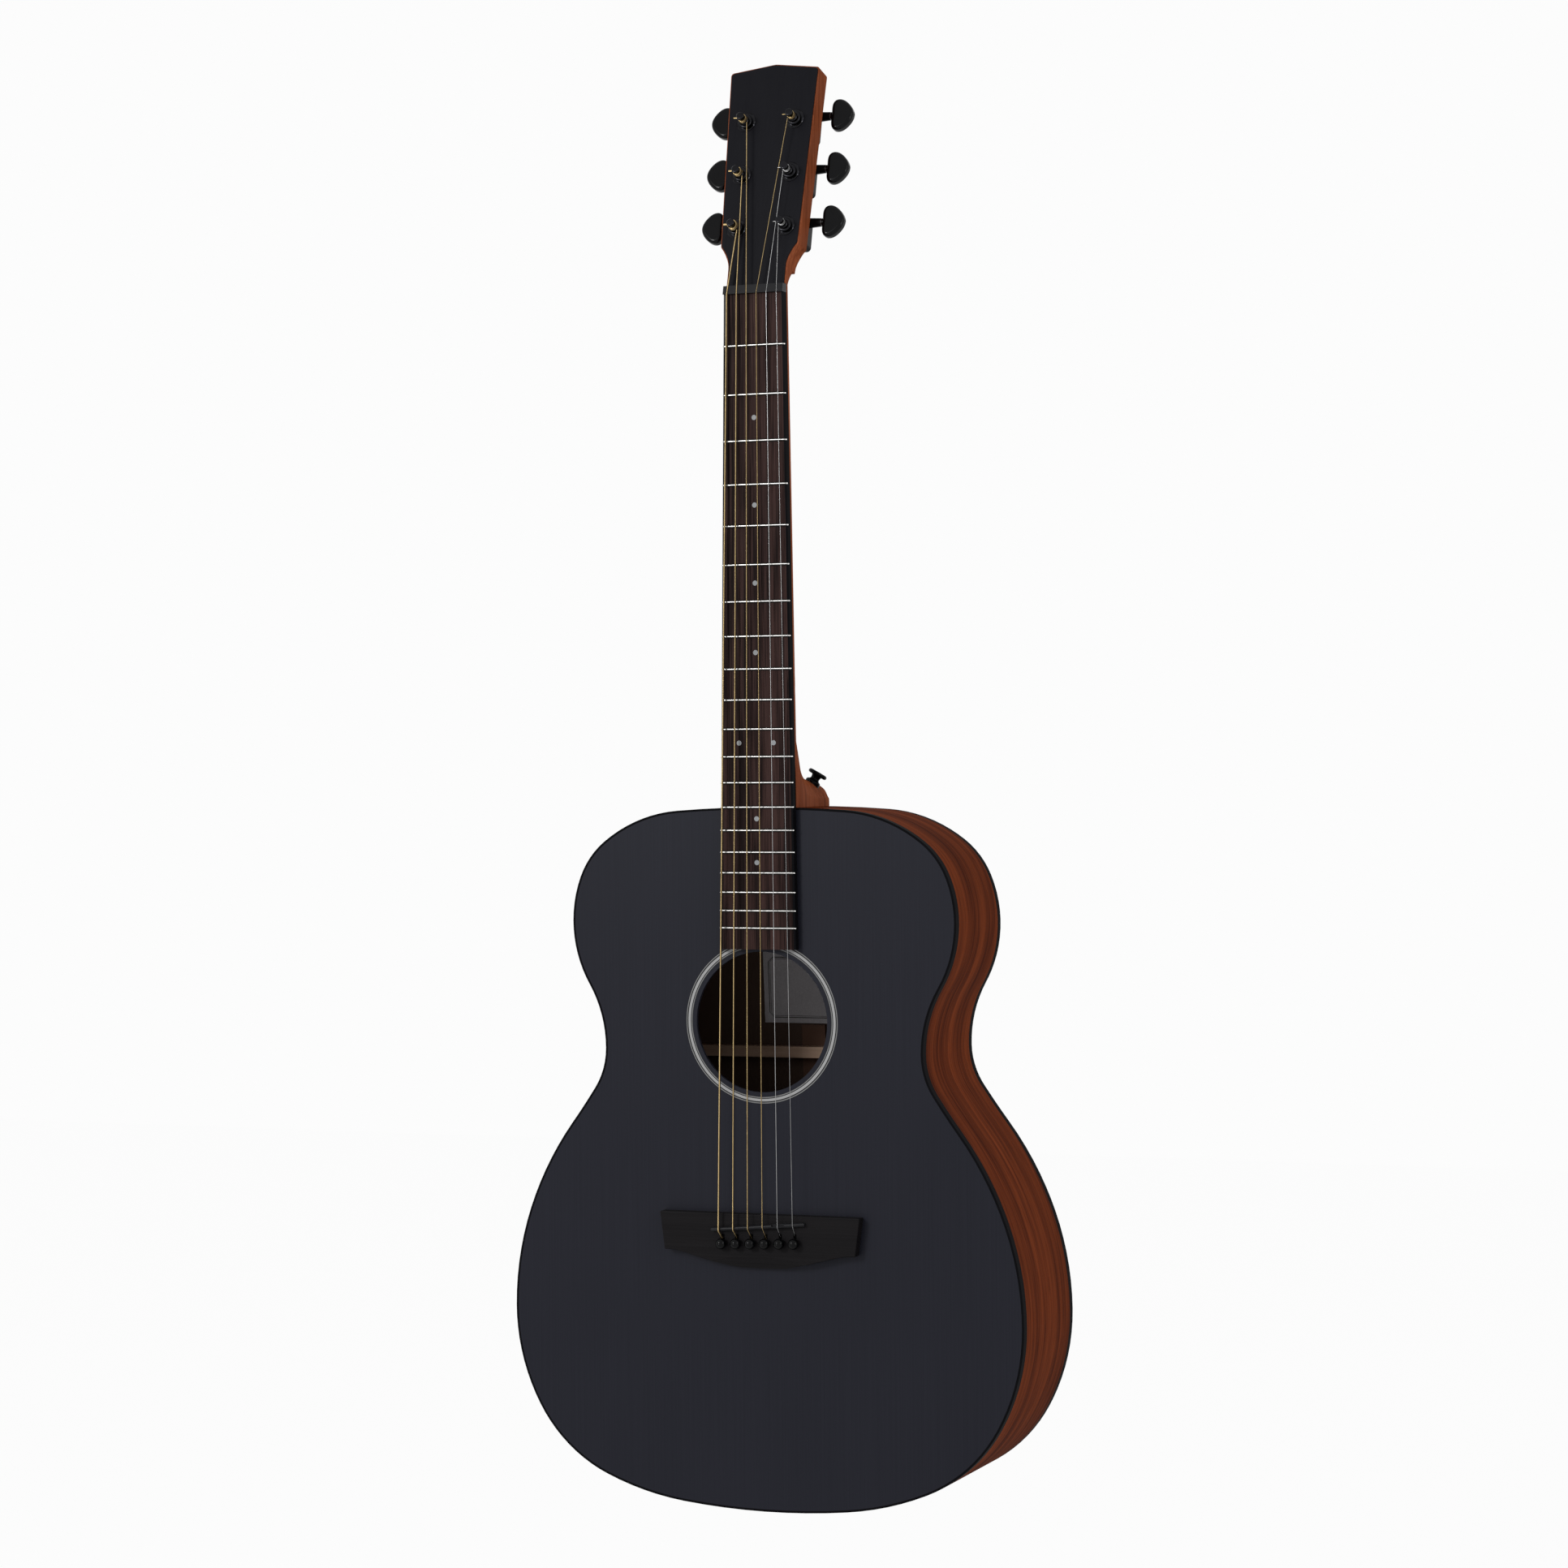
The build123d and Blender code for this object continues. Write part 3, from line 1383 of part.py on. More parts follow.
with BuildPart() as tuner_bushings:
    for index in range(string_count):
        with Locations(tuner_plane(index).location):
            add(bushing.part)

with BuildPart() as tuner_screws:
    for index in range(string_count):
        with Locations(tuner_plane(index).location):
            add(lug_screw.part)


def wrap_end(index):
    """Direction, about its post, in which a string's last turn meets the hole, in degrees."""
    side = tuner_places[index][0]
    return (0 if side < 0 else 180) - side * 360 * string_wraps[index]


def tuner_post(index):
    """A string post with its hole, its gear and the gear's screw."""
    with Locations(tuner_plane(index).location):
        add(plain_post.part)
        add(gear.part)
        add(gear_screw.part)
        with Locations(Location((0, 0, string_hole_level), (0, 90, wrap_end(index)))):
            Cylinder(string_hole_radius, 4 * post_radius, mode=Mode.SUBTRACT)


with BuildPart() as plain_post:
    low, high = post_waist
    with BuildSketch(Plane.XZ):
        Polygon(
            (0, post_foot),
            (post_radius, post_foot),
            (post_radius, low - post_waist_slope),
            (post_waist_radius, low),
            (post_waist_radius, high),
            (post_radius, high + post_waist_slope),
            (post_radius, post_tip),
            (0, post_tip),
            align=None,
        )
    revolve(axis=Axis.Z)
    fillet(plain_post.edges().sort_by(Axis.Z)[-1], post_tip_rounding)
    with Locations((0, 0, post_foot)):
        Cylinder(
            screw_radius,
            gear_screw_length,
            align=(Align.CENTER, Align.CENTER, Align.MIN),
            mode=Mode.SUBTRACT,
        )


def winding(index):
    """The turns of a string round its post, in the tuner's own frame, ending through the post's hole."""
    side = tuner_places[index][0]
    gauge = string_gauges[index]
    radius = post_waist_radius + gauge / 2 + wrap_gap
    with BuildLine(mode=Mode.PRIVATE) as coil:
        Helix(
            pitch=wrap_spacing * gauge,
            height=wrap_rises[index],
            radius=radius,
            center=(0, 0, string_hole_level - wrap_rises[index]),
            lefthand=side > 0,
        )
    start = Plane(origin=coil.line @ 0, x_dir=(1, 0, 0), z_dir=coil.line % 0)
    with BuildSketch(start, mode=Mode.PRIVATE) as section:
        Circle(gauge / 2)
    sweep(sections=section.sketch, path=coil.line, is_frenet=True)
    inward = wrap_end(index) - (0 if side < 0 else 180)
    with Locations(Location((0, 0, string_hole_level), (0, 90, inward))):
        with Locations((0, 0, (radius - string_tail) / 2 - radius)):
            Cylinder(gauge / 2, radius + string_tail)


with BuildPart() as strap_knob:
    with BuildSketch(Plane(origin=strap_plane.origin, x_dir=strap_plane.x_dir, z_dir=-strap_plane.y_dir)):
        with BuildLine():
            Polyline(
                (strap_waist_radius + 0.7, strap_height),
                (strap_screw_radius + seam_gap, strap_height - strap_sink),
                (strap_screw_radius + seam_gap, -strap_base_reach),
                (strap_base_radius, -strap_base_reach),
                (strap_base_radius, strap_base_thickness),
            )
            Spline(
                (strap_base_radius, strap_base_thickness),
                (strap_waist_radius, strap_waist_height),
                (strap_waist_radius + 0.4, strap_rim_height - strap_rim_radius),
                (strap_head_radius - strap_rim_radius, strap_rim_height - strap_rim_radius),
                tangents=[(-0.3, 1), (1, -0.1)],
            )
            RadiusArc(
                (strap_head_radius - strap_rim_radius, strap_rim_height - strap_rim_radius),
                (strap_head_radius - strap_rim_radius, strap_rim_height + strap_rim_radius),
                -strap_rim_radius,
            )
            Spline(
                (strap_head_radius - strap_rim_radius, strap_rim_height + strap_rim_radius),
                (strap_waist_radius + 0.7, strap_height),
                tangents=[(-1, 0), (-1, 0)],
            )
        make_face()
    revolve(axis=Axis(strap_plane.origin, strap_plane.z_dir))
    add(neck.part, mode=Mode.SUBTRACT)

with BuildPart() as strap_screw:
    with Locations((0, 0, -strap_screw_length)):
        Cylinder(
            strap_screw_radius,
            strap_screw_length + strap_height - strap_sink,
            align=(Align.CENTER, Align.CENTER, Align.MIN),
        )
    with Locations((0, 0, strap_height - strap_sink)):
        Cone(
            strap_screw_radius,
            strap_waist_radius + 0.5,
            strap_sink - 0.1,
            align=(Align.CENTER, Align.CENTER, Align.MIN),
        )
    with Locations((0, 0, strap_height)):
        Box(2 * strap_waist_radius - 1, screw_slot_width, 2, mode=Mode.SUBTRACT)
        Box(screw_slot_width, 2 * strap_waist_radius - 1, 2, mode=Mode.SUBTRACT)

with BuildPart() as strap_button:
    add(strap_knob.part)
    with Locations(strap_plane.location):
        add(strap_screw.part)

# ---------------------------------------------------------------- the part files
nodes = {
    "soundboard": soundboard,
    "back_plate": back_plate,
    "bass_side": bass_side,
    "treble_side": treble_side,
    "front_binding": front_binding,
    "back_binding": back_binding,
    "linings": linings,
    "neck_block": neck_block,
    "tail_block": tail_block,
    "x_braces": x_braces,
    "top_braces": top_braces,
    "bridge_plate": bridge_plate,
    "back_braces": back_braces,
    "rosette": rosette,
    "label": label,
    "bridge": bridge,
    "saddle": saddle,
    "bridge_pins": bridge_pins,
    "wound_strings": wound_strings,
    "plain_strings": plain_strings,
    "neck": neck,
    "headplate": headplate,
    "fingerboard": fingerboard,
    "fingerboard_binding": fingerboard_binding,
    "frets": frets,
    "position_dots": position_dots,
    "nut": nut,
    "truss_rod": truss_rod,
    "truss_rod_nut": truss_rod_nut,
    "tuner_housings": tuner_housings,
    "tuner_covers": tuner_covers,
    "tuner_bushings": tuner_bushings,
    "tuner_screws": tuner_screws,
    "strap_button": strap_button,
    "end_pin": end_pin,
}

# Each string has its own post, winding, worm and button, numbered from the thinnest string
for index, (side, station) in enumerate(tuner_places):
    number = string_count - index
    with BuildPart() as nodes[f"tuner_post_{number}"]:
        tuner_post(index)
    with BuildPart() as turns:
        winding(index)
    with BuildPart() as nodes[f"string_winding_{number}"]:
        with Locations(tuner_plane(index).location):
            add(turns.part)
    shaft_location = tuner_plane(index).location * worm_plane(side).location
    with BuildPart() as nodes[f"tuner_worm_{number}"]:
        with Locations(shaft_location):
            add(worm.part)
    with BuildPart() as nodes[f"tuner_button_{number}"]:
        with Locations(shaft_location):
            add(button.part)
            add(button_screw.part)

for name, node in nodes.items():
    node.part.label = name
    export_step(node.part, f"parts/{name}.step")
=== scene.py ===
"""Looks for the guitar: materials, small dressings, studio and camera.

Everything is in metres, in the same frame as the solids.
"""
import math

import bpy
from mathutils import Matrix, Vector


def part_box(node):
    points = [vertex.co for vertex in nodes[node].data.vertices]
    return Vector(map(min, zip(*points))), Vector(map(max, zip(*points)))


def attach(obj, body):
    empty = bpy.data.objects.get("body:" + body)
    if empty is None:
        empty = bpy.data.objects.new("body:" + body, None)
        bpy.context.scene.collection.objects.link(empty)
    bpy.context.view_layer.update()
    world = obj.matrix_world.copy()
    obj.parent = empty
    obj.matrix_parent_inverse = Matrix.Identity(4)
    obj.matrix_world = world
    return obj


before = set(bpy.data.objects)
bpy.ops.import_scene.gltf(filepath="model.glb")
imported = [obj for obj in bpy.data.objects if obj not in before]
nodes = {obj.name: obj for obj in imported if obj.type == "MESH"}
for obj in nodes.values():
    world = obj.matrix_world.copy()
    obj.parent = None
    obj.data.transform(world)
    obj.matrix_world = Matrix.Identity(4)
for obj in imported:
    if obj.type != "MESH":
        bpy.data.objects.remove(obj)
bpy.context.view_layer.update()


# ---------------------------------------------------------------- material helpers
NOISE_LOW, NOISE_HIGH = 0.3, 0.7  # nearly all of a noise's values lie between these
MIX_A, MIX_B, MIX_RESULT = 6, 7, 2  # the Mix node's colour sockets


def is_socket(value):
    return isinstance(value, bpy.types.NodeSocket)


def with_alpha(colour):
    return colour if is_socket(colour) else (*colour, 1.0)


class Look:
    """A material being built from nodes: one Principled shader and what feeds it."""

    def __init__(self, name, roughness=0.5, metallic=0.0, specular=0.5):
        self.mat = bpy.data.materials.new(name)
        self.mat.use_nodes = True
        self.tree = self.mat.node_tree
        self.shader = self.tree.nodes["Principled BSDF"]
        self.shader.inputs["Roughness"].default_value = roughness
        self.shader.inputs["Metallic"].default_value = metallic
        self.shader.inputs["Specular IOR Level"].default_value = specular
        coordinates = self.tree.nodes.new("ShaderNodeTexCoord")
        self.place = coordinates.outputs["Object"]
        self.facing = coordinates.outputs["Normal"]

    def feed(self, socket, value):
        """Link a socket to another, or set it to a number or colour."""
        if is_socket(value):
            self.tree.links.new(value, socket)
        else:
            socket.default_value = value

    def noise(self, scale, detail, roughness=0.55, shift=(0, 0, 0)):
        """Noise on the object, with its own scale along each axis to follow a grain."""
        stretch = self.tree.nodes.new("ShaderNodeMapping")
        self.feed(stretch.inputs["Vector"], self.place)
        stretch.inputs["Scale"].default_value = scale
        stretch.inputs["Location"].default_value = shift
        made = self.tree.nodes.new("ShaderNodeTexNoise")
        self.feed(made.inputs["Vector"], stretch.outputs["Vector"])
        made.inputs["Scale"].default_value = 1.0
        made.inputs["Detail"].default_value = detail
        made.inputs["Roughness"].default_value = roughness
        return made.outputs["Fac"]

    def ramp(self, value, stops, stepped=False):
        """Colours between stops, each a place from 0 to 1 and a colour."""
        made = self.tree.nodes.new("ShaderNodeValToRGB")
        self.feed(made.inputs["Fac"], value)
        ramp = made.color_ramp
        ramp.interpolation = "CONSTANT" if stepped else "LINEAR"
        while len(ramp.elements) < len(stops):
            ramp.elements.new(0.5)
        for element, (place, colour) in zip(ramp.elements, stops):
            element.position = place
            element.color = with_alpha(colour)
        return made.outputs["Color"]

    def math(self, kind, a, b=0.0):
        made = self.tree.nodes.new("ShaderNodeMath")
        made.operation = kind
        self.feed(made.inputs[0], a)
        self.feed(made.inputs[1], b)
        return made.outputs["Value"]

    def weigh(self, a, b, share):
        """Two values added up: a share of the first, and the rest from the second."""
        return self.math("ADD", self.math("MULTIPLY", a, share), self.math("MULTIPLY", b, 1 - share))

    def near(self, value, target, reach):
        """1 where a value is within reach of the target, else 0."""
        away = self.math("ABSOLUTE", self.math("SUBTRACT", value, target))
        return self.math("LESS_THAN", away, reach)

    def span(self, value, low, high, to_low=0.0, to_high=1.0):
        """A value moved from one range to another and kept inside it."""
        made = self.tree.nodes.new("ShaderNodeMapRange")
        self.feed(made.inputs["Value"], value)
        made.inputs["From Min"].default_value = low
        made.inputs["From Max"].default_value = high
        made.inputs["To Min"].default_value = to_low
        made.inputs["To Max"].default_value = to_high
        return made.outputs["Result"]

    def mix(self, share, a, b):
        """Colour a, or colour b where the share is 1."""
        made = self.tree.nodes.new("ShaderNodeMix")
        made.data_type = "RGBA"
        self.feed(made.inputs["Factor"], share)
        self.feed(made.inputs[MIX_A], with_alpha(a))
        self.feed(made.inputs[MIX_B], with_alpha(b))
        return made.outputs[MIX_RESULT]

    def split(self, vector=None):
        """The X, Y and Z of a vector, or of the place on the object."""
        made = self.tree.nodes.new("ShaderNodeSeparateXYZ")
        self.feed(made.inputs[0], vector or self.place)
        return made.outputs

    def turned(self, axis):
        """How far the surface faces along one axis of the object, 0 to 1."""
        return self.math("ABSOLUTE", self.split(self.facing)[axis])

    def colour(self, value):
        self.feed(self.shader.inputs["Base Color"], with_alpha(value))

    def recolour(self, where, colour):
        """Another colour for the share of a finished look that a mask picks out."""
        base = self.shader.inputs["Base Color"].links[0].from_socket
        self.colour(self.mix(where, base, colour))

    def rough(self, noise, at_low, at_high):
        """Roughness that follows a noise from one level to another."""
        level = self.span(noise, NOISE_LOW, NOISE_HIGH, at_low, at_high)
        self.feed(self.shader.inputs["Roughness"], level)

    def bump(self, height, distance, strength=1.0):
        made = self.tree.nodes.new("ShaderNodeBump")
        made.inputs["Strength"].default_value = strength
        made.inputs["Distance"].default_value = distance
        self.feed(made.inputs["Height"], height)
        self.feed(self.shader.inputs["Normal"], made.outputs["Normal"])

    def coat(self, weight, roughness):
        self.shader.inputs["Coat Weight"].default_value = weight
        self.shader.inputs["Coat Roughness"].default_value = roughness


WOOD_COAT_ROUGHNESS = 0.3
WOOD_POLISH = 0.06  # how far the roughness strays to each side
STREAK_SHARE = 0.6  # of the tone; the rest is the broad drift
RIBBON_COARSER, RIBBON_SHIFT = 0.12, (0.3, 0.1, 0.7)
PORE_FINER, PORE_SHIFT = 2.2, (0.7, 0.2, 0.4)
PORE_START, PORE_FULL = 0.60, 0.68  # noise values between which a pore opens
PORE_SHADE = 0.35  # of the dark wood's colour


def wood(name, dark, light, fine, broad, roughness, pores,
         figure=0.0, relief=0.00004, gloss=0.1, coat=0.0, spread=0.2):
    """Open-pored wood: fine streaks along the grain, broad drift, dark pores and a soft figure."""
    look = Look(name, roughness=roughness, specular=gloss)
    look.coat(coat, WOOD_COAT_ROUGHNESS)
    streaks = look.noise(fine, detail=5.0, roughness=0.6)
    drift = look.noise(broad, detail=2.0)
    tone = look.weigh(streaks, drift, STREAK_SHARE)
    if figure:
        ribbon = look.noise([value * RIBBON_COARSER for value in fine], detail=2.0, shift=RIBBON_SHIFT)
        stripes = look.math("MULTIPLY", look.math("SUBTRACT", ribbon, 0.5), figure)
        tone = look.math("ADD", tone, stripes)
    base = look.ramp(tone, ((0.5 - spread, dark), (0.5 + spread, light)))
    specks = look.noise([value * PORE_FINER for value in fine], detail=3.0, shift=PORE_SHIFT)
    pore = look.math("MULTIPLY", look.span(specks, PORE_START, PORE_FULL), pores)
    look.colour(look.mix(pore, base, [value * PORE_SHADE for value in dark]))
    look.rough(streaks, roughness + WOOD_POLISH, roughness - WOOD_POLISH)
    look.bump(look.math("SUBTRACT", streaks, pore), relief)
    return look


CLOUD_SCALE, SCUFF_SCALE = 60, 900
CLOUD_LOW, CLOUD_HIGH = 0.35, 0.65  # noise values between which a colour changes
SCUFF_POLISH = 0.04  # how far the roughness strays to each side
SCUFF_DEPTH = 0.000004
SMOOTH_COAT_ROUGHNESS = 0.05


def smooth(name, colour, roughness, metallic=0.0, vary=0.12, coat=0.0, gloss=0.12):
    """Moulded, lacquered or plated surface: slight mottling, uneven polish and fine scuffs."""
    look = Look(name, roughness=roughness, metallic=metallic, specular=gloss)
    cloud = look.noise([CLOUD_SCALE] * 3, detail=3.0)
    scuffs = look.noise([SCUFF_SCALE] * 3, detail=2.0)
    low = [value * (1 - vary) for value in colour]
    high = [value * (1 + vary) for value in colour]
    look.colour(look.ramp(cloud, ((CLOUD_LOW, low), (CLOUD_HIGH, high))))
    worn = look.weigh(cloud, scuffs, 0.5)
    look.rough(worn, roughness - SCUFF_POLISH, roughness + SCUFF_POLISH)
    look.bump(scuffs, SCUFF_DEPTH)
    look.coat(coat, SMOOTH_COAT_ROUGHNESS)
    return look.mat


TARNISH_SCALE = (90, 90, 60)
TARNISH_MOST = 0.25  # share of the crown that tarnish dulls where it is thickest
DULLER, BRIGHTER = 0.06, 0.04  # how far tarnish and polish move the roughness


def wire(name, crown, shaded_flank, roughness, axis, low, high):
    """Bright drawn metal: its crown, and its flanks, which face along the axis and get a painted shade
    colour, leaving a painted highlight along the crown.

    From the low share of facing that way to the high one, the crown's colour turns to the flanks'
    painted shade.
    """
    look = Look(name, roughness=roughness, metallic=1.0)
    tarnish = look.noise(TARNISH_SCALE, detail=3.0)
    # Painted shade on the flanks, where the surface faces along the axis; the crown stays bright as a
    # painted highlight
    painted_flank_shade = look.span(look.turned(axis), low, high)
    shade = look.mix(painted_flank_shade, crown, shaded_flank)
    # Random tarnish, which takes the flanks' painted shade colour
    tarnished = look.span(tarnish, CLOUD_LOW, CLOUD_HIGH, 0.0, TARNISH_MOST)
    look.colour(look.mix(tarnished, shade, shaded_flank))
    look.rough(tarnish, roughness + DULLER, roughness - BRIGHTER)
    return look


def give(material, *names):
    """Put one material on each of these CAD nodes."""
    for name in names:
        mesh = nodes[name].data
        mesh.materials.clear()
        mesh.materials.append(material)


def each_tuner(kind):
    return [f"tuner_{kind}_{number}" for number in range(1, 7)]


# ---------------------------------------------------------------- top and rosette
TOP_DARK, TOP_LIGHT = (0.0070, 0.0076, 0.0135), (0.0112, 0.0118, 0.0192)
TOP_RELIEF = 0.000012

SOUNDHOLE_Z = -0.51149  # height of the soundhole's centre
ROSETTE_INNER, ROSETTE_OUTER = 0.0524, 0.0576  # radii
HATCH_LINES = 340.0  # round the whole ring
HATCH_SLANT = 9000.0  # radians of the hatching's wave for each metre of radius
HATCH_DARK, HATCH_PALE = (0.10, 0.10, 0.105), (0.42, 0.42, 0.42)
WAVE_LOW, WAVE_HIGH = -0.6, 0.9  # heights of the wave where a line's edge begins and ends
HATCH_LEAST = 0.72  # share of the pale colour in the hatching's dark lines
ROSETTE_BLACK = (0.012, 0.012, 0.013)
NONE, THIN, FULL = (0, 0, 0), (0.55, 0.55, 0.55), (1, 1, 1)  # shares of pale inlay
# Where each band begins, as a share of the ring's width from the hole's side outwards
ROSETTE_BANDS = ((0.0, NONE), (0.08, THIN), (0.20, NONE), (0.32, FULL),
                 (0.66, NONE), (0.82, THIN), (0.94, NONE))


def soundboard_look():
    """Dark stained spruce: straight fine grain, slow cloudy drift, satin lacquer."""
    look = Look("stained_top", roughness=0.42, specular=0.15)
    fine = look.noise((900, 60, 7), detail=4.0)
    line = look.noise((2600, 60, 10), detail=2.0)
    cloud = look.noise((9, 9, 5), detail=2.0)
    tone = look.weigh(fine, cloud, 0.55)
    look.colour(look.ramp(tone, ((NOISE_LOW, TOP_DARK), (NOISE_HIGH, TOP_LIGHT))))
    look.rough(tone, 0.45, 0.38)
    look.bump(look.math("ADD", line, fine), TOP_RELIEF)
    return look.mat


def rosette_look():
    """Ring of pale inlay with fine slanted hatching, set between dark and thin pale lines."""
    look = Look("rosette_inlay", roughness=0.35, specular=0.2)
    parts = look.split()
    up = look.math("SUBTRACT", parts["Z"], SOUNDHOLE_Z)
    squares = look.math("ADD", look.math("POWER", parts["X"], 2.0), look.math("POWER", up, 2.0))
    radius = look.math("SQRT", squares)
    around = look.math("MULTIPLY", look.math("ARCTAN2", up, parts["X"]), HATCH_LINES)
    wave = look.math("SINE", look.math("ADD", around, look.math("MULTIPLY", radius, HATCH_SLANT)))
    hatch = look.span(wave, WAVE_LOW, WAVE_HIGH, HATCH_LEAST, 1.0)
    silver = look.mix(hatch, HATCH_DARK, HATCH_PALE)
    share = look.span(radius, ROSETTE_INNER, ROSETTE_OUTER)
    bands = look.ramp(share, ROSETTE_BANDS, stepped=True)
    look.colour(look.mix(bands, ROSETTE_BLACK, silver))
    wear = look.noise([400] * 3, detail=2.0)
    look.rough(wear, 0.42, 0.28)
    look.bump(look.math("MULTIPLY", wave, 0.5), 0.00001)
    return look.mat


give(soundboard_look(), "soundboard")
give(rosette_look(), "rosette")

# ---------------------------------------------------------------- wood
RED_DARK, RED_LIGHT = (0.060, 0.0105, 0.0030), (0.225, 0.0470, 0.0125)
PALE_DARK, PALE_LIGHT = (0.30, 0.19, 0.13), (0.50, 0.35, 0.26)
BARE_BACK, STRIP_COLOUR = (0.080, 0.052, 0.040), (0.115, 0.062, 0.042)
STRIP_HALF = 0.0092  # half the width of the strip along the back's seam
BACK_BRACE_HEIGHTS = (-0.43046, -0.53946, -0.66046, -0.76846)
BACK_BRACE_HALF = 0.0041

side_wood = wood("side_mahogany", RED_DARK, RED_LIGHT,
                 fine=(14, 380, 14), broad=(3, 70, 3),
                 roughness=0.42, pores=0.6, figure=1.1, gloss=0.0, coat=0.04)
back_wood = wood("back_mahogany", RED_DARK, RED_LIGHT,
                 fine=(380, 20, 9), broad=(70, 10, 3),
                 roughness=0.42, pores=0.6, figure=1.1, gloss=0.02, coat=0.04)
neck_wood = wood("neck_mahogany", (0.160, 0.040, 0.0150), (0.350, 0.098, 0.0400),
                 fine=(620, 620, 12), broad=(50, 50, 3),
                 roughness=0.45, pores=0.5, figure=0.35, gloss=0.0, coat=0.04, spread=0.14)
brace_wood = wood("brace_spruce", PALE_DARK, PALE_LIGHT,
                  fine=(300, 300, 12), broad=(30, 30, 4), roughness=0.6, pores=0.15)
back_brace_wood = wood("brace_spruce_back", PALE_DARK, PALE_LIGHT,
                       fine=(12, 300, 300), broad=(4, 30, 30), roughness=0.6, pores=0.15)
block_wood = wood("block_mahogany", (0.13, 0.060, 0.032), (0.24, 0.125, 0.070),
                  fine=(400, 400, 16), broad=(30, 30, 4), roughness=0.6, pores=0.3)
board_wood = wood("board_rosewood", (0.0080, 0.0044, 0.0042), (0.050, 0.0265, 0.0235),
                  fine=(800, 300, 13), broad=(170, 60, 6),
                  roughness=0.50, pores=0.85, figure=0.5, gloss=0.04, spread=0.09)
bridge_wood = wood("bridge_rosewood", (0.0040, 0.0034, 0.0040), (0.0082, 0.0072, 0.0080),
                   fine=(16, 300, 1100), broad=(4, 60, 160), roughness=0.50, pores=0.6, gloss=0.08)
plate_wood = wood("headplate_black", (0.0030, 0.0030, 0.0052), (0.0060, 0.0060, 0.0085),
                  fine=(900, 200, 10), broad=(60, 60, 5),
                  roughness=0.40, pores=0.2, relief=0.000015, gloss=0.07)

# The back's inner face, towards -Y, is bare wood
inward = back_wood.math("LESS_THAN", back_wood.split(back_wood.facing)["Y"], 0.0)
back_wood.recolour(inward, BARE_BACK)

# A strip of darker wood, in the same node, runs down the back's seam between its braces
place = back_brace_wood.split()
strip = back_brace_wood.math("LESS_THAN", back_brace_wood.math("ABSOLUTE", place["X"]), STRIP_HALF)
for height in BACK_BRACE_HEIGHTS:
    away = back_brace_wood.math("ABSOLUTE", back_brace_wood.math("SUBTRACT", place["Z"], height))
    clear = back_brace_wood.math("GREATER_THAN", away, BACK_BRACE_HALF)
    strip = back_brace_wood.math("MULTIPLY", strip, clear)
back_brace_wood.recolour(strip, STRIP_COLOUR)

give(side_wood.mat, "bass_side", "treble_side")
give(back_wood.mat, "back_plate")
give(neck_wood.mat, "neck")
give(brace_wood.mat, "x_braces", "top_braces")
give(back_brace_wood.mat, "back_braces")
give(block_wood.mat, "neck_block", "tail_block", "linings")
give(board_wood.mat, "fingerboard")
give(bridge_wood.mat, "bridge", "bridge_plate")
give(plate_wood.mat, "headplate")

# ---------------------------------------------------------------- paper label
LABEL_CORNER = 0.0075  # how much the border's corners are cut, measured across plus along
BORDER_LINES = ((0.0040, 0.00030), (0.0052, 0.00015))  # distance from the edge, half width
PAPER_DARK, PAPER_LIGHT, INK = (0.44, 0.42, 0.44), (0.51, 0.49, 0.51), (0.05, 0.045, 0.04)


def label_look():
    """Plain grey paper with a printed double border that cuts its corners, left blank inside."""
    look = Look("label_paper", roughness=0.8, specular=0.2)
    low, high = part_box("label")
    parts = look.split()
    across = look.math("SUBTRACT", (high.x - low.x) / 2, look.math("ABSOLUTE", parts["X"]))
    up = look.math("SUBTRACT", parts["Z"], (low.z + high.z) / 2)
    along = look.math("SUBTRACT", (high.z - low.z) / 2, look.math("ABSOLUTE", up))
    corner = look.math("SUBTRACT", look.math("ADD", across, along), LABEL_CORNER)
    edge = look.math("MINIMUM", look.math("MINIMUM", across, along), corner)
    outer, inner = [look.near(edge, inset, half) for inset, half in BORDER_LINES]
    fibre = look.noise([700] * 3, detail=4.0)
    paper = look.ramp(fibre, ((NOISE_LOW, PAPER_DARK), (NOISE_HIGH, PAPER_LIGHT)))
    look.colour(look.mix(look.math("MAXIMUM", outer, inner), paper, INK))
    look.rough(fibre, 0.85, 0.75)
    look.bump(fibre, 0.00002)
    return look.mat


give(label_look(), "label")

# ---------------------------------------------------------------- trim and metal
give(smooth("black_binding", (0.0045, 0.0045, 0.0055), 0.22, gloss=0.0, coat=0.05),
     "front_binding", "back_binding", "fingerboard_binding")
give(smooth("black_pins", (0.0020, 0.0020, 0.0024), 0.10, gloss=0.10), "bridge_pins", "end_pin")
give(smooth("black_bone", (0.0090, 0.0090, 0.0105), 0.35), "nut", "saddle")
give(smooth("pale_dots", (0.30, 0.31, 0.32), 0.30, vary=0.08), "position_dots")
give(smooth("rod_steel", (0.20, 0.20, 0.21), 0.40, metallic=1.0), "truss_rod", "truss_rod_nut")
give(smooth("machine_enamel", (0.0035, 0.0035, 0.0040), 0.18, gloss=0.05),
     "tuner_housings", "tuner_covers", "strap_button")
give(smooth("machine_screws", (0.04, 0.04, 0.042), 0.28, metallic=1.0), "tuner_screws")
give(smooth("black_chrome", (0.016, 0.016, 0.018), 0.14, metallic=1.0),
     "tuner_bushings", *each_tuner("post"))
give(smooth("worm_steel", (0.10, 0.10, 0.105), 0.28, metallic=1.0), *each_tuner("worm"))
give(smooth("black_buttons", (0.0024, 0.0024, 0.0030), 0.09, gloss=0.12), *each_tuner("button"))

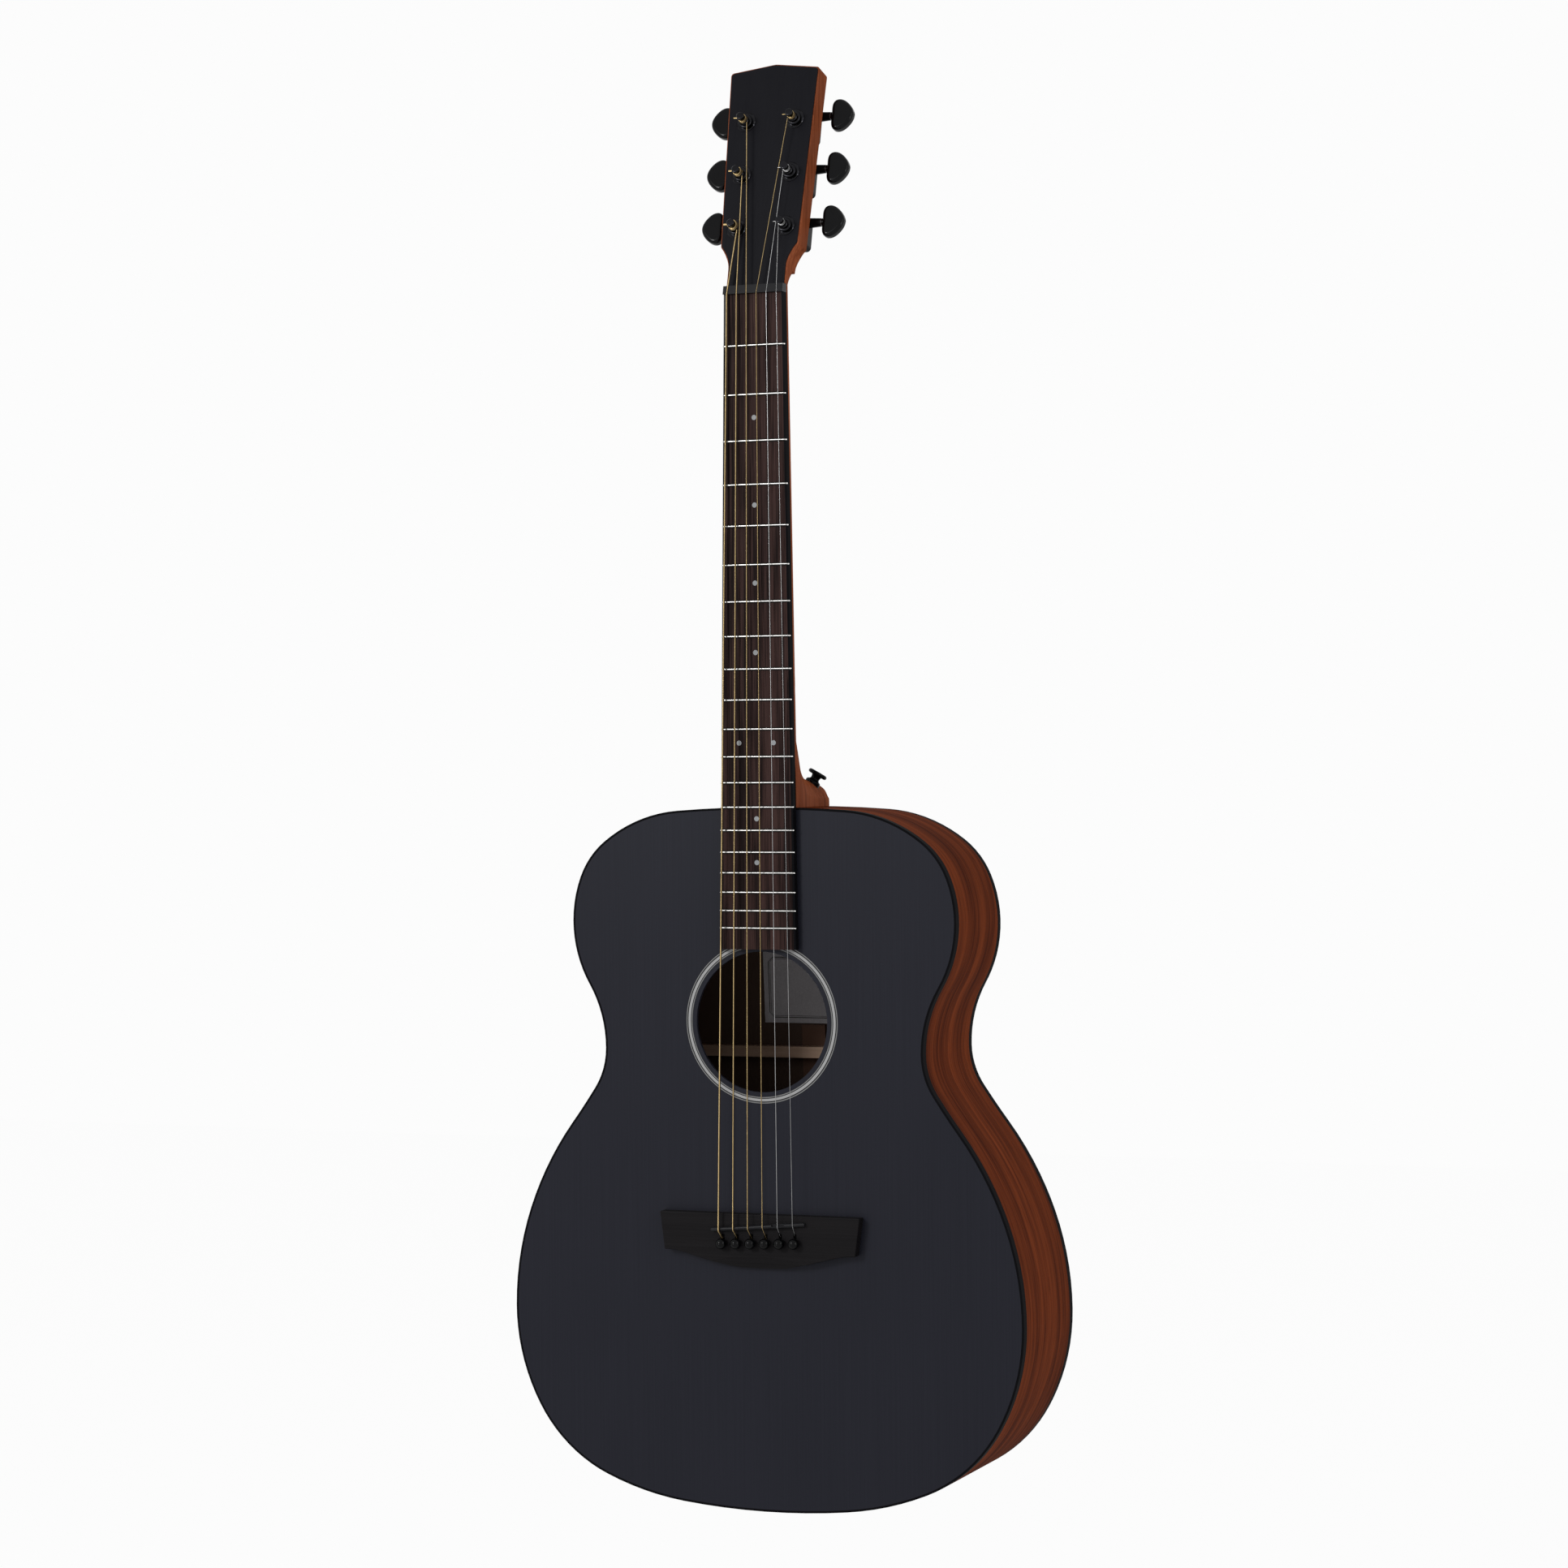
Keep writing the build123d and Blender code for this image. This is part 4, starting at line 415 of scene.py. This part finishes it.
# ---------------------------------------------------------------- frets and strings
FRET_APART = 0.004  # a gap this high between vertices begins the next fret
FRET_TIP = 0.0002  # how far from its end a fret is measured
FRET_DOME = 0.0009  # how far a dome stands out
RINGS, SPOKES = 6, 16
WRAP_PITCH = 0.00042  # from one turn of the bronze wrap to the next

# Frets: the flanks, facing along Z, get a painted shade colour, leaving a painted highlight along each
# crown
fret_look = wire("nickel_silver", (0.86, 0.85, 0.83), (0.05, 0.048, 0.045),
                 roughness=0.32, axis="Z", low=0.08, high=0.26)
give(fret_look.mat, "frets")


def fret_rows():
    """The frets' vertices, one list for each fret, from the lowest fret upwards."""
    rows = []
    for place in sorted((vertex.co for vertex in nodes["frets"].data.vertices), key=lambda co: co.z):
        if not rows or place.z - rows[-1][-1].z > FRET_APART:
            rows.append([])
        rows[-1].append(place)
    return rows


def add_dome(verts, faces, centre, radius, side):
    """Half an ellipsoid that stands out along X, as rings of vertices joined by quads."""
    first = len(verts)
    for ring in range(RINGS + 1):
        lift = math.pi / 2 * ring / RINGS
        across, out = radius * math.cos(lift), side * FRET_DOME * math.sin(lift)
        for spoke in range(SPOKES):
            turn = 2 * math.pi * spoke / SPOKES
            verts.append(centre + Vector((out, across * math.cos(turn), across * math.sin(turn))))
    for ring in range(RINGS):
        here = first + ring * SPOKES
        after = here + SPOKES
        for spoke in range(SPOKES):
            ahead = (spoke + 1) % SPOKES
            quad = [here + spoke, here + ahead, after + ahead, after + spoke]
            faces.append(quad if side < 0 else quad[::-1])


def add_object(name, data):
    made = bpy.data.objects.new(name, data)
    bpy.context.scene.collection.objects.link(made)
    return made


def fret_ends():
    """The frets' ends, dressed round and polished: a small dome on each, as wide as its fret."""
    verts, faces = [], []
    for row in fret_rows():
        for side in (-1, 1):
            reach = max(side * place.x for place in row)
            tip = [place for place in row if side * place.x > reach - FRET_TIP]
            low, high = min(place.z for place in tip), max(place.z for place in tip)
            radius = (high - low) / 2
            centre = Vector((side * reach, min(place.y for place in tip) + radius, (low + high) / 2))
            add_dome(verts, faces, centre, radius, side)
    mesh = bpy.data.meshes.new("fret_ends")
    mesh.from_pydata(verts, [], faces)
    for face in mesh.polygons:
        face.use_smooth = True
    mesh.materials.append(smooth("fret_polish", (0.84, 0.83, 0.81), 0.12, metallic=1.0, vary=0.04))
    made = add_object("fret_ends", mesh)
    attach(made, "guitar")


fret_ends()

# Wound strings: the flanks, facing along X, get a painted shade colour, leaving a painted highlight
# along each string
wound_look = wire("bronze_wrap", (0.62, 0.46, 0.22), (0.10, 0.07, 0.035),
                  roughness=0.36, axis="X", low=0.18, high=0.48)
turns = wound_look.math("MULTIPLY", wound_look.split()["Z"], 2 * math.pi / WRAP_PITCH)
wound_look.bump(wound_look.math("SINE", turns), 0.00006, strength=0.7)
give(wound_look.mat, "wound_strings", *[f"string_winding_{number}" for number in (6, 5, 4, 3)])

# Plain strings: the flanks, facing along X, get a painted shade colour, leaving a painted highlight
# along each string
plain_look = wire("plain_steel_wire", (0.74, 0.74, 0.74), (0.09, 0.09, 0.09),
                  roughness=0.32, axis="X", low=0.22, high=0.50)
give(plain_look.mat, "plain_strings", "string_winding_2", "string_winding_1")

# ---------------------------------------------------------------- shading
SHARP_ANGLE = math.radians(32)  # faces that meet at less than this are shaded as one curve

for node in nodes.values():
    for face in node.data.polygons:
        face.use_smooth = True
    for edge in node.data.edges:
        edge.use_edge_sharp = False
    node.data.set_sharp_from_angle(angle=SHARP_ANGLE)

# ---------------------------------------------------------------- studio
FLOOR_SIZE, FLOOR_Z = 9.0, -1.08
FLOOR_GREY = (0.80, 0.80, 0.80, 1)
FLOOR_WHITE = 0.95  # share of plain white that the camera sees; the rest keeps the shadow
WHITE = (1, 1, 1, 1)
WORLD_LIGHT = 0.45  # strength of the light on the object
WORLD_WHITE = 0.974  # strength that the camera sees, which meets the floor without a line


def camera_side(tree):
    """1 for rays that show the background, to the camera or by way of metal or glass."""
    path = tree.nodes.new("ShaderNodeLightPath")
    seen = path.outputs["Is Camera Ray"]
    for name in ("Is Glossy Ray", "Is Transmission Ray"):
        either = tree.nodes.new("ShaderNodeMath")
        either.operation = "MAXIMUM"
        tree.links.new(seen, either.inputs[0])
        tree.links.new(path.outputs[name], either.inputs[1])
        seen = either.outputs["Value"]
    return seen


def choose_shader(tree, share, plain, shown, output):
    """Send a mix of two shader nodes to the output, the second by this share."""
    choose = tree.nodes.new("ShaderNodeMixShader")
    tree.links.new(share, choose.inputs["Fac"])
    tree.links.new(plain.outputs[0], choose.inputs[1])
    tree.links.new(shown.outputs[0], choose.inputs[2])
    tree.links.new(choose.outputs["Shader"], tree.nodes[output].inputs["Surface"])


def floor_look():
    """Pale paper: mostly plain white to the camera, with the soft shadow still in it."""
    mat = bpy.data.materials.new("pale_floor")
    mat.use_nodes = True
    tree = mat.node_tree
    shader = tree.nodes["Principled BSDF"]
    shader.inputs["Base Color"].default_value = FLOOR_GREY
    shader.inputs["Roughness"].default_value = 0.9
    shader.inputs["Specular IOR Level"].default_value = 0.0
    glow = tree.nodes.new("ShaderNodeEmission")
    glow.inputs["Strength"].default_value = 1.0
    share = tree.nodes.new("ShaderNodeMath")
    share.operation = "MULTIPLY"
    share.inputs[1].default_value = FLOOR_WHITE
    tree.links.new(camera_side(tree), share.inputs[0])
    choose_shader(tree, share.outputs["Value"], shader, glow, "Material Output")
    return mat


def floor():
    half = FLOOR_SIZE / 2
    corners = [(-half, -half, 0), (half, -half, 0), (half, half, 0), (-half, half, 0)]
    mesh = bpy.data.meshes.new("studio_floor")
    mesh.from_pydata(corners, [], [(0, 1, 2, 3)])
    mesh.materials.append(floor_look())
    made = add_object("studio_floor", mesh)
    made.location = (0, 0, FLOOR_Z)


def studio_world():
    """Soft white light all round, and a plain white background where the camera sees it."""
    world = bpy.data.worlds.new("studio")
    bpy.context.scene.world = world
    world.use_nodes = True
    tree = world.node_tree
    light, shown = tree.nodes["Background"], tree.nodes.new("ShaderNodeBackground")
    for background, strength in ((light, WORLD_LIGHT), (shown, WORLD_WHITE)):
        background.inputs["Color"].default_value = WHITE
        background.inputs["Strength"].default_value = strength
    choose_shader(tree, camera_side(tree), light, shown, "World Output")


def lamp(name, power, size, location, target):
    """A soft rectangular lamp: its power in watts, its width and height, and what it is aimed at."""
    data = bpy.data.lights.new(name, "AREA")
    data.energy = power
    data.shape = "RECTANGLE"
    data.size, data.size_y = size
    made = add_object(name, data)
    made.location = location
    made.rotation_euler = (Vector(target) - Vector(location)).to_track_quat("-Z", "Y").to_euler()


floor()
studio_world()
lamp("key", power=10, size=(1.2, 1.4), location=(-1.15, -2.3, 0.75), target=(0, 0, -0.45))
lamp("key_core", power=22, size=(0.45, 0.60), location=(-1.25, -2.2, 0.55), target=(0, 0, -0.40))
lamp("side_fill", power=13, size=(1.0, 2.4), location=(2.6, -0.6, 0.2), target=(0.1, 0.05, -0.45))
lamp("side_core", power=4, size=(0.20, 0.6), location=(2.2, -1.3, 0.1), target=(0, 0, -0.40))

# ---------------------------------------------------------------- camera
# Fitted to the photograph: turned to the treble side and nearly level
AZIMUTH, ELEVATION, ROLL = math.radians(21.7913), math.radians(0.1199), math.radians(-0.3846)
DISTANCE = 2.6
LOOKED_AT = Vector((0.0182506, 0, -0.3442864))
FOCAL_LENGTH, IMAGE_WIDTH = 4569.905, 1932  # pixels
SENSOR_WIDTH = 36.0
NEAR, FAR = 0.05, 50


def fitted_camera():
    back = Vector((math.sin(AZIMUTH) * math.cos(ELEVATION), -math.cos(AZIMUTH) * math.cos(ELEVATION),
                   math.sin(ELEVATION)))
    right = Vector((math.cos(AZIMUTH), math.sin(AZIMUTH), 0))
    up = back.cross(right)
    rolled_right = right * math.cos(ROLL) + up * math.sin(ROLL)
    rolled_up = up * math.cos(ROLL) - right * math.sin(ROLL)
    data = bpy.data.cameras.new("camera")
    data.sensor_width = SENSOR_WIDTH
    data.lens = SENSOR_WIDTH * FOCAL_LENGTH / IMAGE_WIDTH
    data.clip_start, data.clip_end = NEAR, FAR
    camera = add_object("camera", data)
    turn = Matrix((rolled_right, rolled_up, back)).transposed().to_4x4()
    camera.matrix_world = Matrix.Translation(LOOKED_AT + back * DISTANCE) @ turn
    return camera


bpy.context.scene.camera = fitted_camera()
bpy.context.scene.view_settings.view_transform = "Standard"
